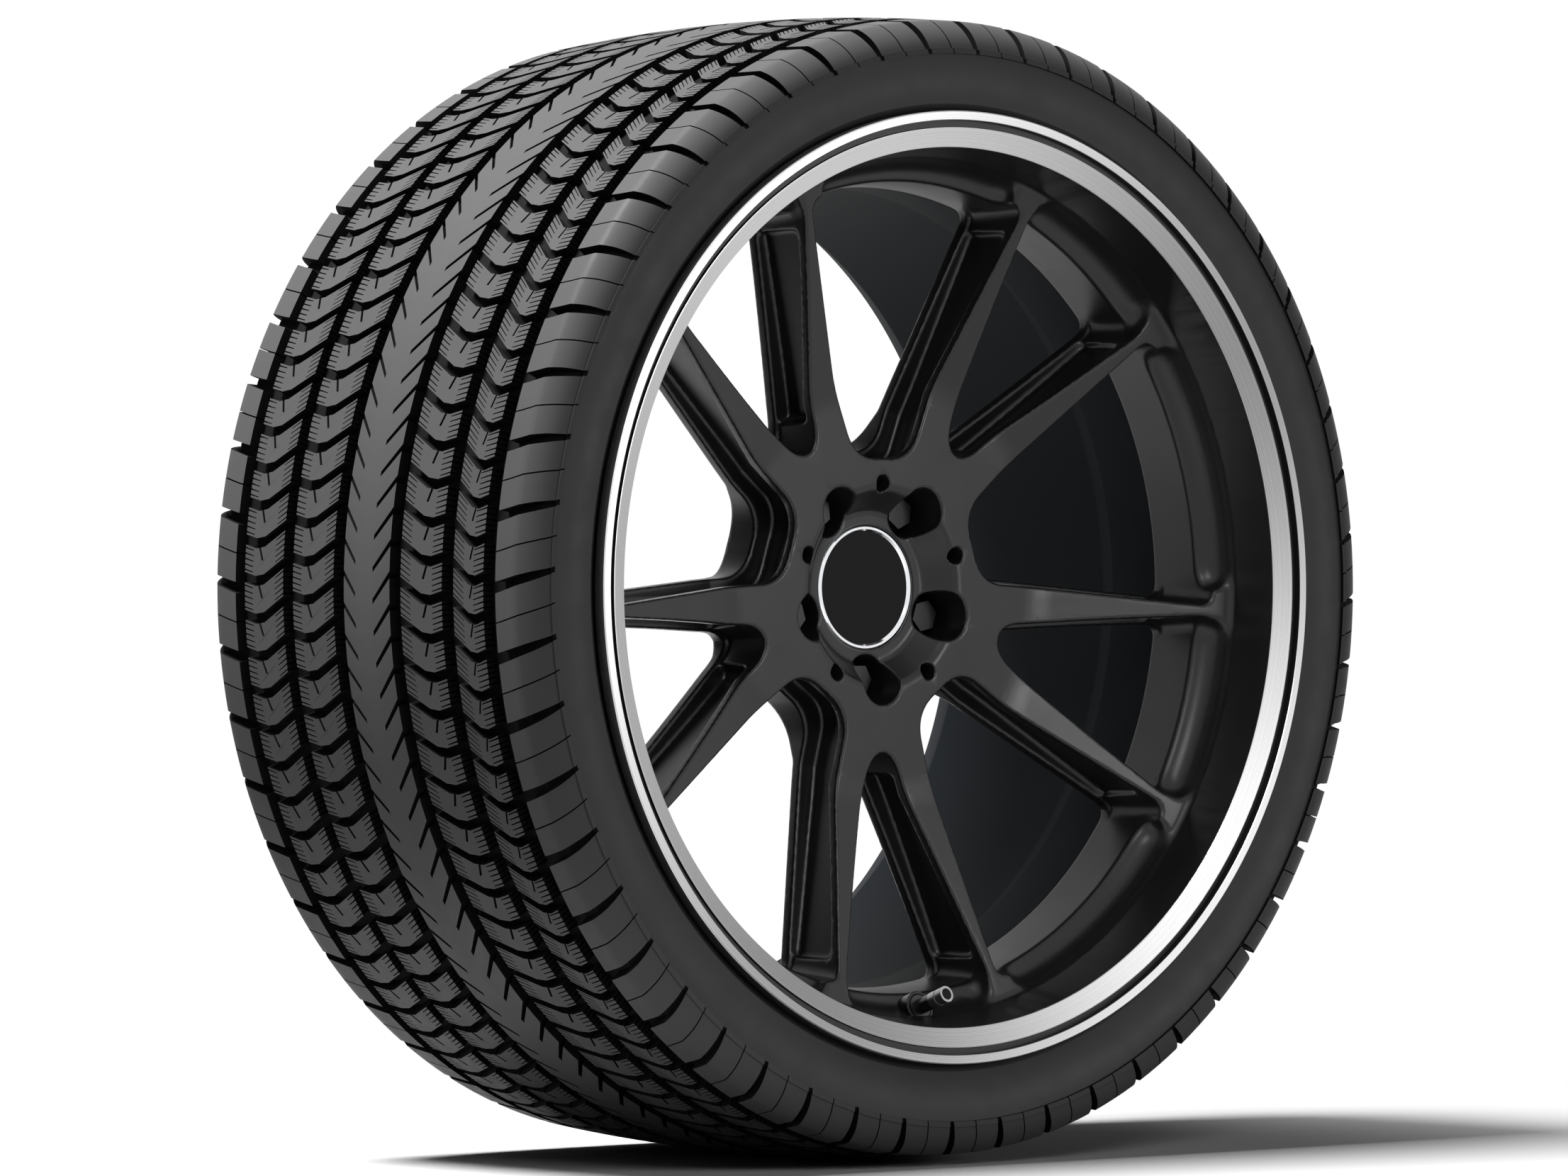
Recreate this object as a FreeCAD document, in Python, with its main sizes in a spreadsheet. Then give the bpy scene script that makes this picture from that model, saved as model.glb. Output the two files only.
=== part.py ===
"""Forged car wheel, 21 inch, with its fitted winter tyre, hub cap, wheel bolts and valve.

Millimetres. The wheel turns about the Y axis, the outboard face looks along -Y, and +Z is up.
The origin is on the axis, halfway between the rim flanges.
"""
import FreeCAD, Part
import math
import os
import re
import Sketcher

Vector = FreeCAD.Vector

SIZES = [
    # Rim section, as radius from the axis and distance from the centre plane
    ("flange_radius", 285.0, "outer edge of both rim flanges"),
    ("rim_half_width", 140.0, "centre plane to the bead side of a flange"),
    ("flange_thickness", 13.8, "flange, along the axis"),
    ("flange_round", 6.0, "bevel on the bead side of a flange"),
    ("bead_seat_radius", 267.7, "bead seat beside the flange"),
    ("bead_seat_width", 19.0, "bead seat, along the axis"),
    ("bead_seat_drop", 1.5, "fall of the bead seat over its width"),
    ("bead_heel", 5.0, "bevel between bead seat and flange"),
    ("well_radius", 248.8, "floor of the drop well"),
    ("well_front", 62.0, "centre plane to the outboard end of the well floor"),
    ("well_back", 24.0, "centre plane to the inboard end of the well floor"),
    ("well_ramp", 20.0, "inboard ramp of the well, along the axis"),
    ("barrel_wall", 5.5, "wall of well and barrel"),
    ("barrel_radius", 258.8, "outside of the barrel between well and inboard seat"),
    ("barrel_end_bevel", 26.0, "flare inside the inboard end of the barrel, along the axis"),
    # Turned lip on the outboard flange
    ("lip_band_width", 5.5, "flat outer band of the lip"),
    ("lip_groove_width", 4.5, "painted groove of the lip"),
    ("lip_groove_depth", 4.5, "painted groove below the outer band"),
    ("lip_step", 2.6, "inner band below the outer band"),
    ("lip_inner_radius", 263.3, "inner edge of the lip"),
    ("lip_inner_depth", 7.8, "inner edge of the lip below the outer band"),
    # Disc and spokes
    ("spoke_pairs", 5, "pairs of spokes, one for each bolt"),
    ("spoke_angle", 15.5, "spoke to the middle of its pair, in degrees"),
    ("spoke_tip_radius", 258.0, "front of a spoke where it meets the rim"),
    ("spoke_tip_front", 115.0, "centre plane to the front of a spoke at the rim"),
    ("spoke_bend_radius", 126.0, "where the front of a spoke starts to rise"),
    ("hub_front", 79.0, "centre plane to the flat front of the hub"),
    ("spoke_tip_width", 12.4, "front face of a spoke at the rim"),
    ("spoke_root_width", 26.0, "front face of a spoke at the bend"),
    ("spoke_back_radius", 112.0, "where the back of the disc bends"),
    ("spoke_back_front", 40.0, "centre plane to the back of the disc at that bend"),
    ("window_draft", 4.0, "draft of the window walls, in degrees"),
    ("window_radius", 242.0, "outer end of the windows at the back of the disc"),
    ("window_corner", 7.0, "cut corners at the hub end of the windows"),
    ("wide_root_radius", 78.0, "hub end of a window between two pairs"),
    ("wide_root_width", 27.0, "width of that hub end"),
    ("narrow_root_radius", 100.0, "hub end of a window within a pair"),
    ("narrow_root_width", 21.0, "width of that hub end"),
    ("scoop_back", 97.0, "centre plane to the floor of a scoop"),
    ("scoop_floor_radius", 251.0, "outer edge of that floor"),
    ("scoop_wall", 0.6, "wall left outside a scoop, at its front edge"),
    ("cutter_start", 3.0, "milling cuts start in front of the surface they cut"),
    ("scoop_margin", 3.0, "rim left standing beside a spoke at a scoop"),
    ("web_width", 11.0, "web between the side channels of a spoke"),
    ("front_flange", 7.0, "front flange of a spoke, over its channels"),
    ("back_flange", 8.0, "back flange of a spoke, behind its channels"),
    ("channel_end_radius", 232.0, "rim end of the side channels"),
    ("channel_hub_depth", 5.0, "channel round the hub end of a wide window"),
    # Hub
    ("wheel_offset", 22.0, "centre plane to the mounting face"),
    ("pad_radius", 78.0, "mounting face"),
    ("hub_bore_radius", 33.3, "centre bore"),
    ("hub_bore_length", 20.0, "centre bore, along the axis"),
    ("dish_rim_radius", 60.0, "outer edge of the dish round the cap"),
    ("dish_floor_radius", 46.0, "floor of the dish"),
    ("dish_depth", 16.0, "floor of the dish below the front of the hub"),
    ("hub_hole_radius", 5.0, "blind hole between two bolts"),
    ("hub_hole_circle", 63.0, "radius of the circle of those holes"),
    ("hub_hole_depth", 18.0, "depth of those holes"),
    # Wheel bolts
    ("bolt_circle", 112.0, "bolt circle diameter"),
    ("bolt_pocket_radius", 14.85, "pocket round a bolt head"),
    ("bolt_hole_radius", 7.6, "hole for the bolt shank"),
    ("bolt_shank_radius", 6.4, "bolt shank inside the wheel"),
    ("bolt_thread_radius", 7.0, "threaded end of a bolt, past the mounting face"),
    ("bolt_hex", 17.0, "bolt head across its flats"),
    ("bolt_head_front", 57.0, "centre plane to the front of a bolt head"),
    ("bolt_head_height", 13.0, "hexagon of a bolt head"),
    ("bolt_collar_radius", 12.5, "collar under the hexagon"),
    ("bolt_collar_height", 3.0, "straight part of the collar"),
    ("bolt_seat_height", 6.0, "seat, along the bolt"),
    ("bolt_reach", 25.0, "shank past the mounting face"),
    ("bolt_seat_gap", 0.2, "bolt seat to wheel"),
    # Hub cap
    ("cap_radius", 37.8, "hub cap"),
    ("cap_gap", 0.3, "hub cap to the wheel, at its edge and skirt"),
    ("cap_recess_depth", 7.0, "recess for the cap below the floor of the dish"),
    ("cap_base", 3.0, "base plate of the cap"),
    ("cap_ring_width", 3.4, "bright ring of the cap"),
    ("cap_ring_bevel", 1.0, "bevel on both edges of the bright ring"),
    ("cap_disc", 2.4, "face disc of the cap"),
    ("cap_disc_gap", 0.1, "face disc to the bright ring"),
    ("cap_neck_radius", 33.9, "neck that the clips pass"),
    ("cap_neck_length", 8.0, "neck, along the axis"),
    ("cap_clip_lip", 1.2, "clip groove beyond the neck"),
    ("cap_skirt_wall", 2.0, "wall of the clips"),
    ("cap_clip_tail", 3.5, "clips past the neck"),
    ("cap_slot_width", 8.0, "slot between two clips"),
    ("cap_slots", 6, "slots between the clips"),
    # Valve
    ("valve_hole_front", 108.0, "centre plane to the middle of the valve seat"),
    ("valve_hole_radius_at", 253.5, "axis to the middle of the valve seat"),
    ("valve_tilt", 20.0, "valve to the wheel axis, in degrees"),
    ("valve_boss_radius", 10.5, "boss round the valve"),
    ("valve_boss_length", 18.0, "boss, along the valve"),
    ("valve_land", 5.0, "wall that the valve is pulled into"),
    ("valve_hole_radius", 5.75, "hole for the valve"),
    ("valve_foot_radius", 7.5, "foot of the valve inside the tyre"),
    ("valve_foot_length", 5.0, "foot, along the valve"),
    ("valve_foot_gap", 0.4, "foot to its counterbore"),
    ("valve_rubber_gap", 0.05, "rubber to its hole"),
    ("valve_bulb_radius", 7.6, "rubber bulb outside the land"),
    ("valve_bulb_length", 4.0, "bulb, along the valve"),
    ("valve_neck_radius", 4.7, "rubber neck"),
    ("valve_neck_end", 16.0, "end of the rubber neck above the land"),
    ("valve_tube_radius", 2.9, "brass tube inside the rubber"),
    ("valve_thread_radius", 3.85, "threaded tip of the tube"),
    ("valve_tip", 26.0, "end of the tip above the land"),
    ("valve_bore_radius", 2.2, "bore of the tube"),
    ("core_length", 12.0, "valve core"),
    ("core_gap", 0.05, "valve core to its bore"),
    ("core_recess", 0.5, "core below the end of the tip"),
    ("pin_radius", 0.6, "valve pin"),
    ("pin_gap", 0.2, "valve pin to the core"),
    ("pin_proud", 0.3, "valve pin above the core"),
    ("pin_cup_radius", 1.7, "sealing cup of the pin"),
    ("pin_cup_length", 2.0, "sealing cup, along the pin"),
    ("valve_cap_radius", 5.0, "valve cap"),
    ("valve_cap_gap", 0.3, "valve cap to the thread and to the neck"),
    ("valve_cap_roof", 1.8, "end wall of the valve cap"),
    ("valve_cap_room", 1.2, "valve cap above the tip"),
    ("valve_cap_groove", 0.5, "groove round the valve cap"),
    ("valve_cap_groove_width", 0.8, "width of that groove"),
    # Tyre
    ("crown_radius", 346.0, "tread at its middle"),
    ("crown_drop", 6.5, "fall of the tread to its edges"),
    ("tread_half_width", 138.5, "centre plane to the edge of the tread"),
    ("shoulder_radius", 322.0, "lower end of the shoulder blocks"),
    ("shoulder_half_width", 150.5, "centre plane to that end"),
    ("shoulder_edge_radius", 332.2, "rounded edge of the shoulder blocks"),
    ("shoulder_edge_half_width", 146.5, "centre plane to that edge"),
    ("sidewall_radius", 289.5, "lower end of the sidewall"),
    ("sidewall_half_width", 147.0, "centre plane to that end"),
    ("sidewall_curve", 42.0, "curve of the sidewall"),
    ("bead_gap", 0.3, "tyre bead to the rim"),
    ("sidewall_thickness", 11.0, "sidewall"),
    ("tread_thickness", 12.0, "tread and belts"),
    ("liner_shoulder", 30.0, "bevel of the inner liner at the shoulder"),
    ("liner_flat", 80.0, "centre plane to the end of the flat inner liner"),
    ("rib_middle", -11.0, "middle of the centre rib from the centre plane"),
    ("rib_width", 52.0, "centre rib, groove to groove"),
    ("inner_row_width", 49.5, "each inboard block row, groove to groove"),
    ("outer_row_inside", 46.0, "outboard block row beside the rib"),
    ("outer_row_outside", 35.0, "outboard block row beside the shoulder"),
    ("groove_width", 6.0, "circumferential groove"),
    ("groove_depth", 8.0, "circumferential groove below the crown"),
    ("cross_grooves", 48, "cross grooves in each block row, every second one of the pattern"),
    ("cross_groove_width", 4.5, "cross groove"),
    ("cross_groove_point", 9.0, "point of the arrow of a cross groove"),
    ("shoulder_grooves", 52, "grooves in each shoulder"),
    ("shoulder_groove_width", 6.0, "shoulder groove"),
    ("shoulder_groove_depth", 6.0, "shoulder groove below the surface"),
    ("shoulder_groove_slant", 8.0, "slant of the shoulder grooves, in degrees"),
]
ALIASES = {alias for alias, _, _ in SIZES}

doc = FreeCAD.newDocument("ForgedWheel")
sheet = doc.addObject("Spreadsheet::Sheet", "Sizes")
for row, (alias, number, meaning) in enumerate(SIZES, start=1):
    sheet.set(f"A{row}", meaning)
    sheet.set(f"B{row}", str(number))
    sheet.setAlias(f"B{row}", alias)
doc.recompute()


def sized(text):
    """The expression with each size's name pointing at its cell in the sheet."""
    return re.sub(r"[a-z_]\w*", lambda word: f"Sizes.{word[0]}" if word[0] in ALIASES else word[0], text)


def bind(thing, prop, text):
    """Bind one property of an object to an expression over the sizes."""
    thing.setExpression(prop, sized(text))


def new_body(label):
    body = doc.addObject("PartDesign::Body", label)
    body.Label = label
    return body


def origin_part(body, role):
    return next(part for part in body.Origin.OriginFeatures if part.Role == role)


def new_sketch(body, name, plane, turn=None, shift=None):
    """A sketch on an origin plane of its body.

    turn is an axis and an angle expression, and shift maps x, y or z to an expression.
    """
    sketch = body.newObject("Sketcher::SketchObject", name)
    sketch.AttachmentSupport = [(origin_part(body, plane), "")]
    sketch.MapMode = "FlatFace"
    if turn:
        axis, angle = turn
        sketch.AttachmentOffset = FreeCAD.Placement(Vector(), FreeCAD.Rotation(axis, 1))
        bind(sketch, "AttachmentOffset.Rotation.Angle", angle)
    for letter, text in (shift or {}).items():
        bind(sketch, f"AttachmentOffset.Base.{letter}", text)
    return sketch


def outline(sketch, points):
    """One closed outline: each point is a pair of expressions, and a third makes its next run an arc.

    That third expression is the arc's radius, positive where the run turns left.
    """
    numbers = [[float(sketch.evalExpression(sized(text))) for text in point] for point in points]
    first = sketch.GeometryCount
    ends = []
    for here, after in zip(numbers, numbers[1:] + numbers[:1]):
        start, stop = Vector(*here[:2]), Vector(*after[:2])
        if len(here) == 2:
            sketch.addGeometry(Part.LineSegment(start, stop), False)
            ends.append((1, 2))
            continue
        radius = here[2]
        side = math.copysign(1, radius)
        chord = stop - start
        left = Vector(-chord.y, chord.x).normalize()
        centre = (start + stop) * 0.5 + left * (side * math.sqrt(radius ** 2 - chord.Length ** 2 / 4))
        low, high = (start, stop) if side > 0 else (stop, start)
        angles = [math.atan2(end.y - centre.y, end.x - centre.x) for end in (low, high)]
        whole = Part.Circle(centre, Vector(0, 0, 1), abs(radius))
        sketch.addGeometry(Part.ArcOfCircle(whole, *angles), False)
        ends.append((1, 2) if side > 0 else (2, 1))
    for index in range(len(points)):
        after = (index + 1) % len(points)
        sketch.addConstraint(Sketcher.Constraint(
            "Coincident", first + index, ends[index][1], first + after, ends[after][0]))
    for index, point in enumerate(points):
        for kind, number, text in zip(("DistanceX", "DistanceY"), numbers[index], point):
            pin = sketch.addConstraint(
                Sketcher.Constraint(kind, -1, 1, first + index, ends[index][0], number))
            bind(sketch, f"Constraints[{pin}]", text)
        if len(point) == 3:
            pin = sketch.addConstraint(Sketcher.Constraint("Radius", first + index, abs(numbers[index][2])))
            bind(sketch, f"Constraints[{pin}]", f"abs({point[2]})")


def circle(sketch, across, up, radius):
    """One circle, with its centre and radius given as expressions."""
    numbers = [float(sketch.evalExpression(sized(text))) for text in (across, up, radius)]
    index = sketch.addGeometry(Part.Circle(Vector(*numbers[:2]), Vector(0, 0, 1), numbers[2]), False)
    pins = (
        (Sketcher.Constraint("DistanceX", -1, 1, index, 3, numbers[0]), across),
        (Sketcher.Constraint("DistanceY", -1, 1, index, 3, numbers[1]), up),
        (Sketcher.Constraint("Radius", index, numbers[2]), radius),
    )
    for constraint, text in pins:
        bind(sketch, f"Constraints[{sketch.addConstraint(constraint)}]", text)


def revolve(body, name, kind, points, angle="360 deg", **place):
    """A Revolution or a Groove about the vertical axis of a sketch on the body's XY or given plane."""
    sketch = new_sketch(body, f"{name}_profile", place.pop("plane", "XY_Plane"), **place)
    outline(sketch, points)
    feature = body.newObject(f"PartDesign::{kind}", name)
    feature.Profile = sketch
    feature.ReferenceAxis = (sketch, ["V_Axis"])
    feature.Midplane = angle != "360 deg"
    bind(feature, "Angle", angle)
    return feature


def extrude(body, name, kind, sketch, length, reverse=False, both_ways=False, draft=None):
    """A Pad or a Pocket of a sketch."""
    feature = body.newObject(f"PartDesign::{kind}", name)
    feature.Profile = sketch
    feature.Reversed = reverse
    feature.SideType = "Symmetric" if both_ways else "One side"
    bind(feature, "Length", length)
    if draft:
        bind(feature, "TaperAngle", draft)
    return feature


def repeat(body, name, features, count):
    """Copies of features, evenly spaced round the wheel's axis."""
    pattern = body.newObject("PartDesign::PolarPattern", name)
    pattern.Originals = features
    pattern.Axis = (origin_part(body, "Y_Axis"), [""])
    pattern.Angle = 360
    bind(pattern, "Occurrences", count)
    body.Tip = pattern
    return pattern


def turned(along, across, angle):
    """A point that lies along and across a direction in the plane of the wheel."""
    return (f"({along}) * cos({angle}) - ({across}) * sin({angle})",
            f"({along}) * sin({angle}) + ({across}) * cos({angle})")


# Places that several pieces share, as expressions over the sizes
LOWEST = "-90 deg"
HALF_STEP = "(180 deg / spoke_pairs)"
BETWEEN_PAIRS = f"({LOWEST} + {HALF_STEP})"
PAIR_SPREAD = "(spoke_angle * 1 deg)"
BETWEEN_SPREAD = f"({HALF_STEP} - spoke_angle * 1 deg)"
FLANGE_FACE = "(rim_half_width + flange_thickness)"
SEAT_END = "(rim_half_width - bead_heel - bead_seat_width)"
SEAT_END_RADIUS = "(bead_seat_radius - bead_seat_drop)"
DISH_FLOOR = "(hub_front - dish_depth)"
CAP_SEAT = f"({DISH_FLOOR} - cap_recess_depth)"
CAP_NECK_END = f"({CAP_SEAT} - cap_neck_length)"
BORE_END = "(wheel_offset + hub_bore_length)"
BOLT_SEAT = "(bolt_head_front - bolt_head_height - bolt_collar_height)"
BOLT_DOWN = {"z": "-bolt_circle / 2"}
CUT_PLANE = "(spoke_tip_front + cutter_start)"


def spoke_front(radius):
    """Distance from the centre plane to the front of a spoke, outside its bend."""
    rise = "(spoke_tip_front - hub_front) / (spoke_tip_radius - spoke_bend_radius)"
    return f"(hub_front + ({radius} - spoke_bend_radius) * {rise})"


def spoke_back(radius):
    """Distance from the centre plane to the back of a spoke, outside its bend."""
    rise = "(well_front - spoke_back_front) / (well_radius - barrel_wall - spoke_back_radius)"
    return f"(spoke_back_front + ({radius} - spoke_back_radius) * {rise})"


def drafted(depth):
    """How far the draft moves a window wall between the cut plane and a plane nearer the hub."""
    return f"(tan(window_draft * 1 deg) * ({CUT_PLANE} - {depth}))"


def rim_half(side):
    """Rim section from the barrel end round one flange to the bead seat, side 1 inboard, -1 outboard."""
    return [
        ("flange_radius", f"{side} * (rim_half_width + flange_round)"),
        ("flange_radius - flange_round / 2", f"{side} * rim_half_width"),
        ("bead_seat_radius + bead_heel", f"{side} * rim_half_width"),
        ("bead_seat_radius", f"{side} * (rim_half_width - bead_heel)"),
        (SEAT_END_RADIUS, f"{side} * {SEAT_END}"),
    ]


def wheel_section():
    """Half section of the turned blank: hub, disc, well, barrel, flanges and lip."""
    back = [
        ("hub_bore_radius", "-wheel_offset"),
        ("pad_radius", "-wheel_offset"),
        ("spoke_back_radius", "-spoke_back_front"),
        ("well_radius - barrel_wall", "-well_front"),
        ("well_radius - barrel_wall", "-well_back"),
        ("barrel_radius - barrel_wall", "well_ramp - well_back"),
        ("barrel_radius - barrel_wall", f"{FLANGE_FACE} - barrel_end_bevel"),
        ("barrel_radius - barrel_wall + barrel_end_bevel / 2", FLANGE_FACE),
        ("flange_radius", FLANGE_FACE),
    ]
    tyre_side = rim_half("1") + [
        ("barrel_radius", f"{SEAT_END} - 2 * bead_heel"),
        ("barrel_radius", "well_ramp - well_back"),
        ("well_radius", "-well_back"),
        ("well_radius", "-well_front"),
    ] + rim_half("-1")[::-1]
    lip = [
        ("flange_radius", f"-{FLANGE_FACE}"),
        ("flange_radius - lip_band_width", f"-{FLANGE_FACE}"),
        ("flange_radius - lip_band_width", f"lip_groove_depth - {FLANGE_FACE}"),
        ("flange_radius - lip_band_width - lip_groove_width", f"lip_groove_depth - {FLANGE_FACE}"),
        ("flange_radius - lip_band_width - lip_groove_width", f"lip_step - {FLANGE_FACE}"),
        ("lip_inner_radius", f"lip_inner_depth - {FLANGE_FACE}"),
    ]
    front = [
        ("spoke_tip_radius", "-spoke_tip_front"),
        ("spoke_bend_radius", "-hub_front"),
        ("dish_rim_radius", "-hub_front"),
        ("dish_floor_radius", f"-{DISH_FLOOR}"),
        ("cap_radius + cap_gap", f"-{DISH_FLOOR}"),
        ("cap_radius + cap_gap", f"-{CAP_SEAT}"),
        ("cap_neck_radius", f"-{CAP_SEAT}"),
        ("cap_neck_radius", f"-{CAP_NECK_END}"),
        ("cap_neck_radius + cap_clip_lip", f"-{CAP_NECK_END}"),
        ("cap_neck_radius + cap_clip_lip", f"-{BORE_END}"),
        ("hub_bore_radius", f"-{BORE_END}"),
    ]
    return back + tyre_side + lip + front


def window_outline(middle, spread, root_radius, root_width):
    """A window between two spokes, drawn on the cut plane in front of the disc."""
    outer = f"(window_radius + {drafted('well_front')})"
    tip = f"(spoke_tip_width / 2 - {drafted('spoke_tip_front')})"
    bend = f"(spoke_root_width / 2 - {drafted('hub_front')})"
    root = f"({root_radius} - {drafted('hub_front')})"
    half = f"({root_width} / 2 + {drafted('hub_front')})"
    low, high = f"({middle} - {spread})", f"({middle} + {spread})"
    return [
        turned(root, f"window_corner - {half}", middle),
        turned(f"{root} + window_corner", f"-{half}", middle),
        turned("spoke_bend_radius", bend, low),
        turned(outer, tip, low) + (f"sqrt({outer} ^ 2 + {tip} ^ 2)",),
        turned(outer, f"-{tip}", high),
        turned("spoke_bend_radius", f"-{bend}", high),
        turned(f"{root} + window_corner", half, middle),
        turned(root, f"{half} - window_corner", middle),
    ]


def scoop(body, name, middle, spread):
    """The milled scoop in the rim at the outer end of a window."""
    points = [
        ("scoop_floor_radius", "-scoop_back"),
        ("spoke_tip_radius - scoop_wall", "cutter_start - spoke_tip_front"),
        ("spoke_tip_radius", f"-{CUT_PLANE}"),
        ("window_radius - spoke_tip_width", f"-{CUT_PLANE}"),
        ("window_radius - spoke_tip_width", "-scoop_back"),
    ]
    margin = "asin((spoke_tip_width / 2 + scoop_margin) / spoke_tip_radius)"
    angle = f"2 * ({spread} - {margin})"
    return revolve(body, name, "Groove", points, angle, turn=(Vector(0, 1, 0), f"-{middle}"))


def side_channel(body, name, angle, side, start):
    """The channel along one side of a spoke, between its front and back flanges."""
    half_web = f"{side} * web_width / 2"
    sketch = new_sketch(body, f"{name}_profile", "XY_Plane", turn=(Vector(0, 1, 0), f"-{angle}"),
                        shift={"x": f"-({half_web}) * sin({angle})", "z": f"({half_web}) * cos({angle})"})
    outline(sketch, [
        (start, "front_flange - hub_front"),
        ("spoke_bend_radius", "front_flange - hub_front"),
        ("channel_end_radius", f"front_flange - {spoke_front('channel_end_radius')}"),
        ("channel_end_radius", f"-back_flange - {spoke_back('channel_end_radius')}"),
        ("spoke_back_radius", "-back_flange - spoke_back_front"),
        (start, "-back_flange - spoke_back_front"),
    ])
    return extrude(body, name, "Pocket", sketch, "spoke_root_width / 2", reverse=side > 0)


def hub_channel(body):
    """The same channel carried round the hub end of a window between two pairs."""
    floor = "wide_root_radius - channel_hub_depth"
    points = [
        (floor, "front_flange - hub_front"),
        (floor, "-back_flange - spoke_back_front"),
        ("wide_root_radius + channel_hub_depth", "-back_flange - spoke_back_front"),
        ("wide_root_radius + channel_hub_depth", "front_flange - hub_front"),
    ]
    angle = f"2 * ({BETWEEN_SPREAD} - asin(web_width / 2 / wide_root_radius))"
    return revolve(body, "hub_channel", "Groove", points, angle,
                   turn=(Vector(0, 1, 0), f"-{BETWEEN_PAIRS}"))


def bolt_socket(body):
    """Pocket, seat and hole for one wheel bolt."""
    seat_slope = "bolt_seat_height / (bolt_collar_radius - bolt_shank_radius)"
    seat_end = f"(bolt_collar_radius + bolt_seat_gap - bolt_hole_radius) * {seat_slope} - {BOLT_SEAT}"
    points = [
        ("0", "-hub_front - cutter_start"),
        ("bolt_pocket_radius", "-hub_front - cutter_start"),
        ("bolt_pocket_radius", f"-{BOLT_SEAT}"),
        ("bolt_collar_radius + bolt_seat_gap", f"-{BOLT_SEAT}"),
        ("bolt_hole_radius", seat_end),
        ("bolt_hole_radius", "cutter_start - wheel_offset"),
        ("0", "cutter_start - wheel_offset"),
    ]
    return revolve(body, "bolt_socket", "Groove", points, shift=BOLT_DOWN)


def valve_sketch(body, name, depth, radius):
    """A circle square to the valve, at a depth below its seat."""
    shift = {"y": f"({depth}) * cos(valve_tilt * 1 deg) - valve_hole_front",
             "z": f"-({depth}) * sin(valve_tilt * 1 deg) - valve_hole_radius_at"}
    tilt = (Vector(1, 0, 0), "90 deg - valve_tilt * 1 deg")
    sketch = new_sketch(body, name, "XY_Plane", turn=tilt, shift=shift)
    circle(sketch, "0", "0", radius)
    return sketch


def forged_wheel():
    body = new_body("forged_wheel")
    revolve(body, "blank", "Revolution", wheel_section())
    sketch = new_sketch(body, "window_outlines", "XZ_Plane", shift={"z": CUT_PLANE})
    outline(sketch, window_outline(BETWEEN_PAIRS, BETWEEN_SPREAD, "wide_root_radius", "wide_root_width"))
    outline(sketch, window_outline(LOWEST, PAIR_SPREAD, "narrow_root_radius", "narrow_root_width"))
    windows = extrude(body, "windows", "Pocket", sketch, CUT_PLANE, draft="-window_draft")
    repeat(body, "all_windows", [windows], "spoke_pairs")

    milled = [scoop(body, "wide_scoop", BETWEEN_PAIRS, BETWEEN_SPREAD),
              scoop(body, "narrow_scoop", LOWEST, PAIR_SPREAD)]
    wide_start, narrow_start = "wide_root_radius", "narrow_root_radius + channel_hub_depth"
    for hand, name in ((1, "left"), (-1, "right")):
        angle = f"({LOWEST} + {hand} * {PAIR_SPREAD})"
        milled.append(side_channel(body, f"{name}_outer_channel", angle, hand, wide_start))
        milled.append(side_channel(body, f"{name}_inner_channel", angle, -hand, narrow_start))
    milled += [hub_channel(body), bolt_socket(body)]
    sketch = new_sketch(body, "hub_hole_outline", "XZ_Plane", shift={"z": "hub_front + cutter_start"})
    circle(sketch, *turned("hub_hole_circle", "0", BETWEEN_PAIRS), "hub_hole_radius")
    milled.append(extrude(body, "hub_hole", "Pocket", sketch, "hub_hole_depth + cutter_start"))
    repeat(body, "all_milled", milled, "spoke_pairs")

    extrude(body, "valve_boss", "Pad", valve_sketch(body, "boss_outline", "0", "valve_boss_radius"),
            "valve_boss_length", reverse=True)
    seat = valve_sketch(body, "seat_outline", "0", "valve_bulb_radius + valve_foot_gap")
    extrude(body, "valve_seat", "Pocket", seat, "valve_neck_end", reverse=True)
    extrude(body, "valve_hole", "Pocket", valve_sketch(body, "hole_outline", "0", "valve_hole_radius"),
            "2 * valve_boss_length")
    foot = valve_sketch(body, "counterbore_outline", "valve_land", "valve_foot_radius + valve_foot_gap")
    body.Tip = extrude(body, "valve_counterbore", "Pocket", foot, "2 * valve_boss_length")
    return body


def wheel_bolts():
    """Five bolts, each with a hexagon head, a seat under its collar, a shank and a threaded end."""
    body = new_body("wheel_bolts")
    end = "(bolt_reach - wheel_offset)"
    hex_foot = "bolt_head_height - bolt_head_front"
    shank = revolve(body, "bolt_shank", "Revolution", [
        ("0", hex_foot),
        ("bolt_collar_radius", hex_foot),
        ("bolt_collar_radius", f"-{BOLT_SEAT}"),
        ("bolt_shank_radius", f"bolt_seat_height - {BOLT_SEAT}"),
        ("bolt_shank_radius", "-wheel_offset"),
        ("bolt_thread_radius", "-wheel_offset"),
        ("bolt_thread_radius", end),
        ("0", end),
    ], shift=BOLT_DOWN)
    sketch = new_sketch(body, "bolt_hexagon", "XZ_Plane", shift={"z": "bolt_head_front"})
    corners = [turned("bolt_hex / 2 / cos(30 deg)", "0", f"{60 * step} deg") for step in range(6)]
    outline(sketch, [(across, f"{up} - bolt_circle / 2") for across, up in corners])
    head = extrude(body, "bolt_head", "Pad", sketch, "bolt_head_height", reverse=True)
    repeat(body, "all_bolts", [shank, head], "spoke_pairs")
    return body


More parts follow.
